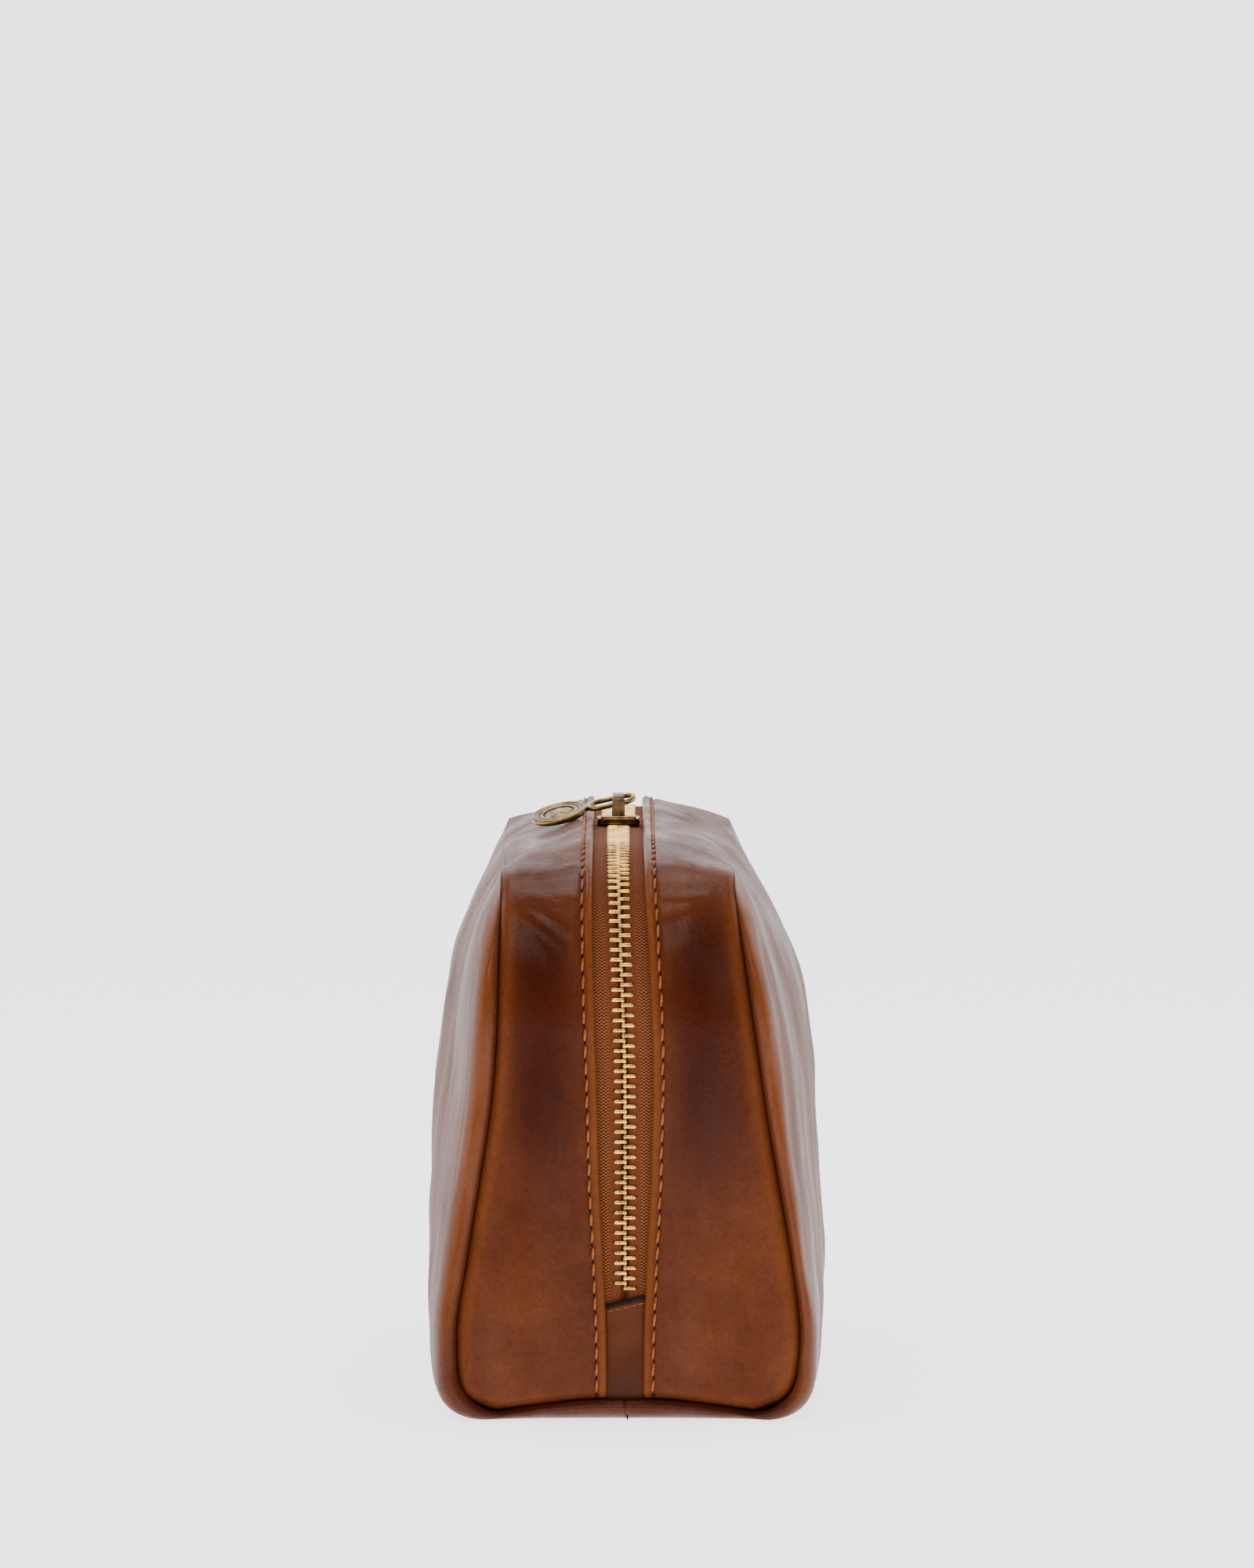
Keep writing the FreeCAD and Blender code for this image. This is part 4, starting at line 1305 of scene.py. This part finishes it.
@once
def metal_material(name):
    """Brass, dark or bright by how much grime it holds, finely scratched."""
    dark, light, roughness = METALS[name]
    look = Look(name)
    look.put(base_color=look.ramp(look.noise(380.0, 5.0, 0.6), (0.34, dark), (0.60, light)),
             metallic=1.0, roughness=roughness)
    look.bump(look.noise(1500.0, 3.0, vector=look.stretched((1.0, 6.0, 1.0))), 0.25, 0.05)
    return look.material


@once
def lining_material():
    """Twilled cotton, from the lining's own coordinates."""
    look = Look("lining_cloth")
    along, across = look.split(look.surface())[:2]
    level = look.plus(look.times(look.wave(look.plus(along, across), 0.0011), 0.25), 0.5)
    speckle = look.noise(1600.0, 2.0, vector=look.surface())
    level = look.times(level, look.plus(speckle, 0.5))
    look.put(base_color=look.ramp(level, (0.2, (0.20, 0.15, 0.095)), (0.8, (0.40, 0.32, 0.21))),
             roughness=0.85)
    look.bump(level, 0.3, 0.12)
    return look.material


def dress_frame():
    """Give the CAD piece that stays in view its own material."""
    obj = bpy.data.objects["base_board"]
    obj.data.materials.clear()
    paint(obj, matt_material("board"))


def stops():
    """Brass clips that end the chain, covered by the leather tabs."""
    for node, places in (("bottom_stop", ((-2.6, 2.6),)), ("top_stops", ((-4.6, -2.7), (2.7, 4.6)))):
        low, high = node_box(node)
        near, far = low[1] + 0.2, high[1] - 0.2
        clips = []
        for left, right in places:
            outline = [(left, near), (right, near), (right, far), (left, far)]
            clip = np.array([(x + STOP_SHIFT, y, z) for z in STOP_HEIGHTS for x, y in outline])
            clips.append((clip, caps(2, 4) + ring_faces(2, 4)))
        obj = make_mesh(node + "_clip", *merge(clips))
        paint(obj, metal_material("tooth_brass"), metal_material("tooth_brass"))
        soften(obj, 0.25)
        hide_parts(node)
        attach(obj, "bag_body")


SEAM_TOP = 5.6


def base_seam():
    """The short seam down the middle of the rolled base, under each end of the zip, drawn as a near-black
    thread of painted shade in its crevice.
    """
    for end, name in ENDS:
        t = np.linspace(0.0, 1.0, 9)
        out = np.interp(SEAM_TOP, PROFILE_Z, PROFILE_Y) - 1.9 - 2.2 * t ** 2.2
        points, faces = tube(np.stack([0.15 + 0.5 * t, end * out, SEAM_TOP - 5.3 * t], -1), 0.30)
        obj = make_mesh(name + "_base_seam", lean(points), faces)
        paint(obj, matt_material("needle_hole"))
        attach(obj, "bag_body")


# ---------------------------------------------------------------- camera, light and floor

LENS = 268.2
CAMERA_PLACE = (0.0023, -3.125, 0.362)
CAMERA_DIP = 3.75              # degrees below level


def camera():
    """A long lens square to the front end and a little above it."""
    data = bpy.data.cameras.new("camera")
    cam = bpy.data.objects.new("camera", data)
    bpy.context.scene.collection.objects.link(cam)
    data.lens = LENS
    data.sensor_width = 36.0
    data.sensor_fit = "AUTO"
    data.clip_end = 50.0
    cam.location = CAMERA_PLACE
    cam.rotation_euler = (math.radians(90.0 - CAMERA_DIP), 0.0, 0.0)
    bpy.context.scene.camera = cam


def area_light(name, location, aim, size, power, colour=(1, 1, 1)):
    """A soft lamp at a place, facing another; metres and watts."""
    data = bpy.data.lights.new(name, "AREA")
    data.shape = "RECTANGLE"
    data.size, data.size_y = size
    data.energy = power
    data.color = colour
    lamp = bpy.data.objects.new(name, data)
    lamp.location = location
    lamp.rotation_euler = (Vector(aim) - Vector(location)).to_track_quat("-Z", "Y").to_euler()
    bpy.context.scene.collection.objects.link(lamp)


def world():
    """Bright all round, dimmer low down on the side that the front end faces."""
    studio = bpy.data.worlds.new("studio")
    studio.use_nodes = True
    sky = Nodes(studio.node_tree)
    facing = sky.split(sky.new("TexCoord").outputs["Generated"])["Y"]
    tone = sky.ramp(sky.plus(sky.times(facing, 0.5), 0.5), (0.10, (0.11, 0.10, 0.09)),
                    (0.36, (0.34, 0.33, 0.32)), (0.55, 0.62))
    sky.link(tone, sky.nodes["Background"].inputs["Color"])
    bpy.context.scene.world = studio


FLOOR_GLOW = 2.25
FLOOR_TONE = 0.62
SWEEP_RADIUS, SWEEP_START, SWEEP_TOP = 3.36, 3.64, 8.4     # metres; it starts beyond the view cameras
FLOOR_FRONT, FLOOR_SIDE = -16.8, 14.0


def backdrop():
    """A pale floor that sweeps up behind the bag."""
    line = [(FLOOR_FRONT, 0.0), (SWEEP_START, 0.0)]
    line += [(SWEEP_START + SWEEP_RADIUS * math.sin(a), SWEEP_RADIUS * (1 - math.cos(a)))
             for a in np.radians(np.arange(5, 91, 5))]
    line.append((SWEEP_START + SWEEP_RADIUS, SWEEP_TOP))
    points = [(x / MM, y / MM, z / MM) for y, z in line for x in (-FLOOR_SIDE, FLOOR_SIDE)]
    floor = make_mesh("floor", points, grid_faces(len(line), 2))
    look = Look("floor")
    look.put(base_color=(FLOOR_TONE,) * 3, roughness=1.0, specular_ior_level=0.0,
             emission_color=(1.0, 1.0, 1.0), emission_strength=FLOOR_GLOW)
    floor.data.materials.append(look.material)


def studio():
    """Soft light from both sides and above, and a warm key and fill in front."""
    world()
    backdrop()
    area_light("left", (-1.1, 0.1, 0.55), (0, 0, 0.07), (0.5, 1.0), 3.0)
    area_light("right", (1.1, 0.1, 0.55), (0, 0, 0.07), (0.5, 1.0), 3.0)
    area_light("top", (0.0, 0.1, 1.3), (0, 0, 0.1), (0.9, 0.9), 9.0)
    area_light("key", (-0.5, -1.7, 1.5), (0, -0.12, 0.07), (1.1, 0.6), 13.0, (1.0, 0.94, 0.86))
    area_light("fill", (0.7, -1.8, 1.0), (0, -0.12, 0.07), (0.9, 0.6), 4.0, (1.0, 0.94, 0.86))


def build():
    """Make the studio and every piece of the bag."""
    camera()
    studio()
    for side, name in SIDES:
        leather_half(side, name)
        lining_half(side, name)
        tape(side, name)
        teeth(side, name)
        stitches(side, name)
    for end, name in ENDS:
        zip_tab(end, name)
    base_seam()
    pocket()
    slider()
    pull()
    stops()
    dress_frame()


build()
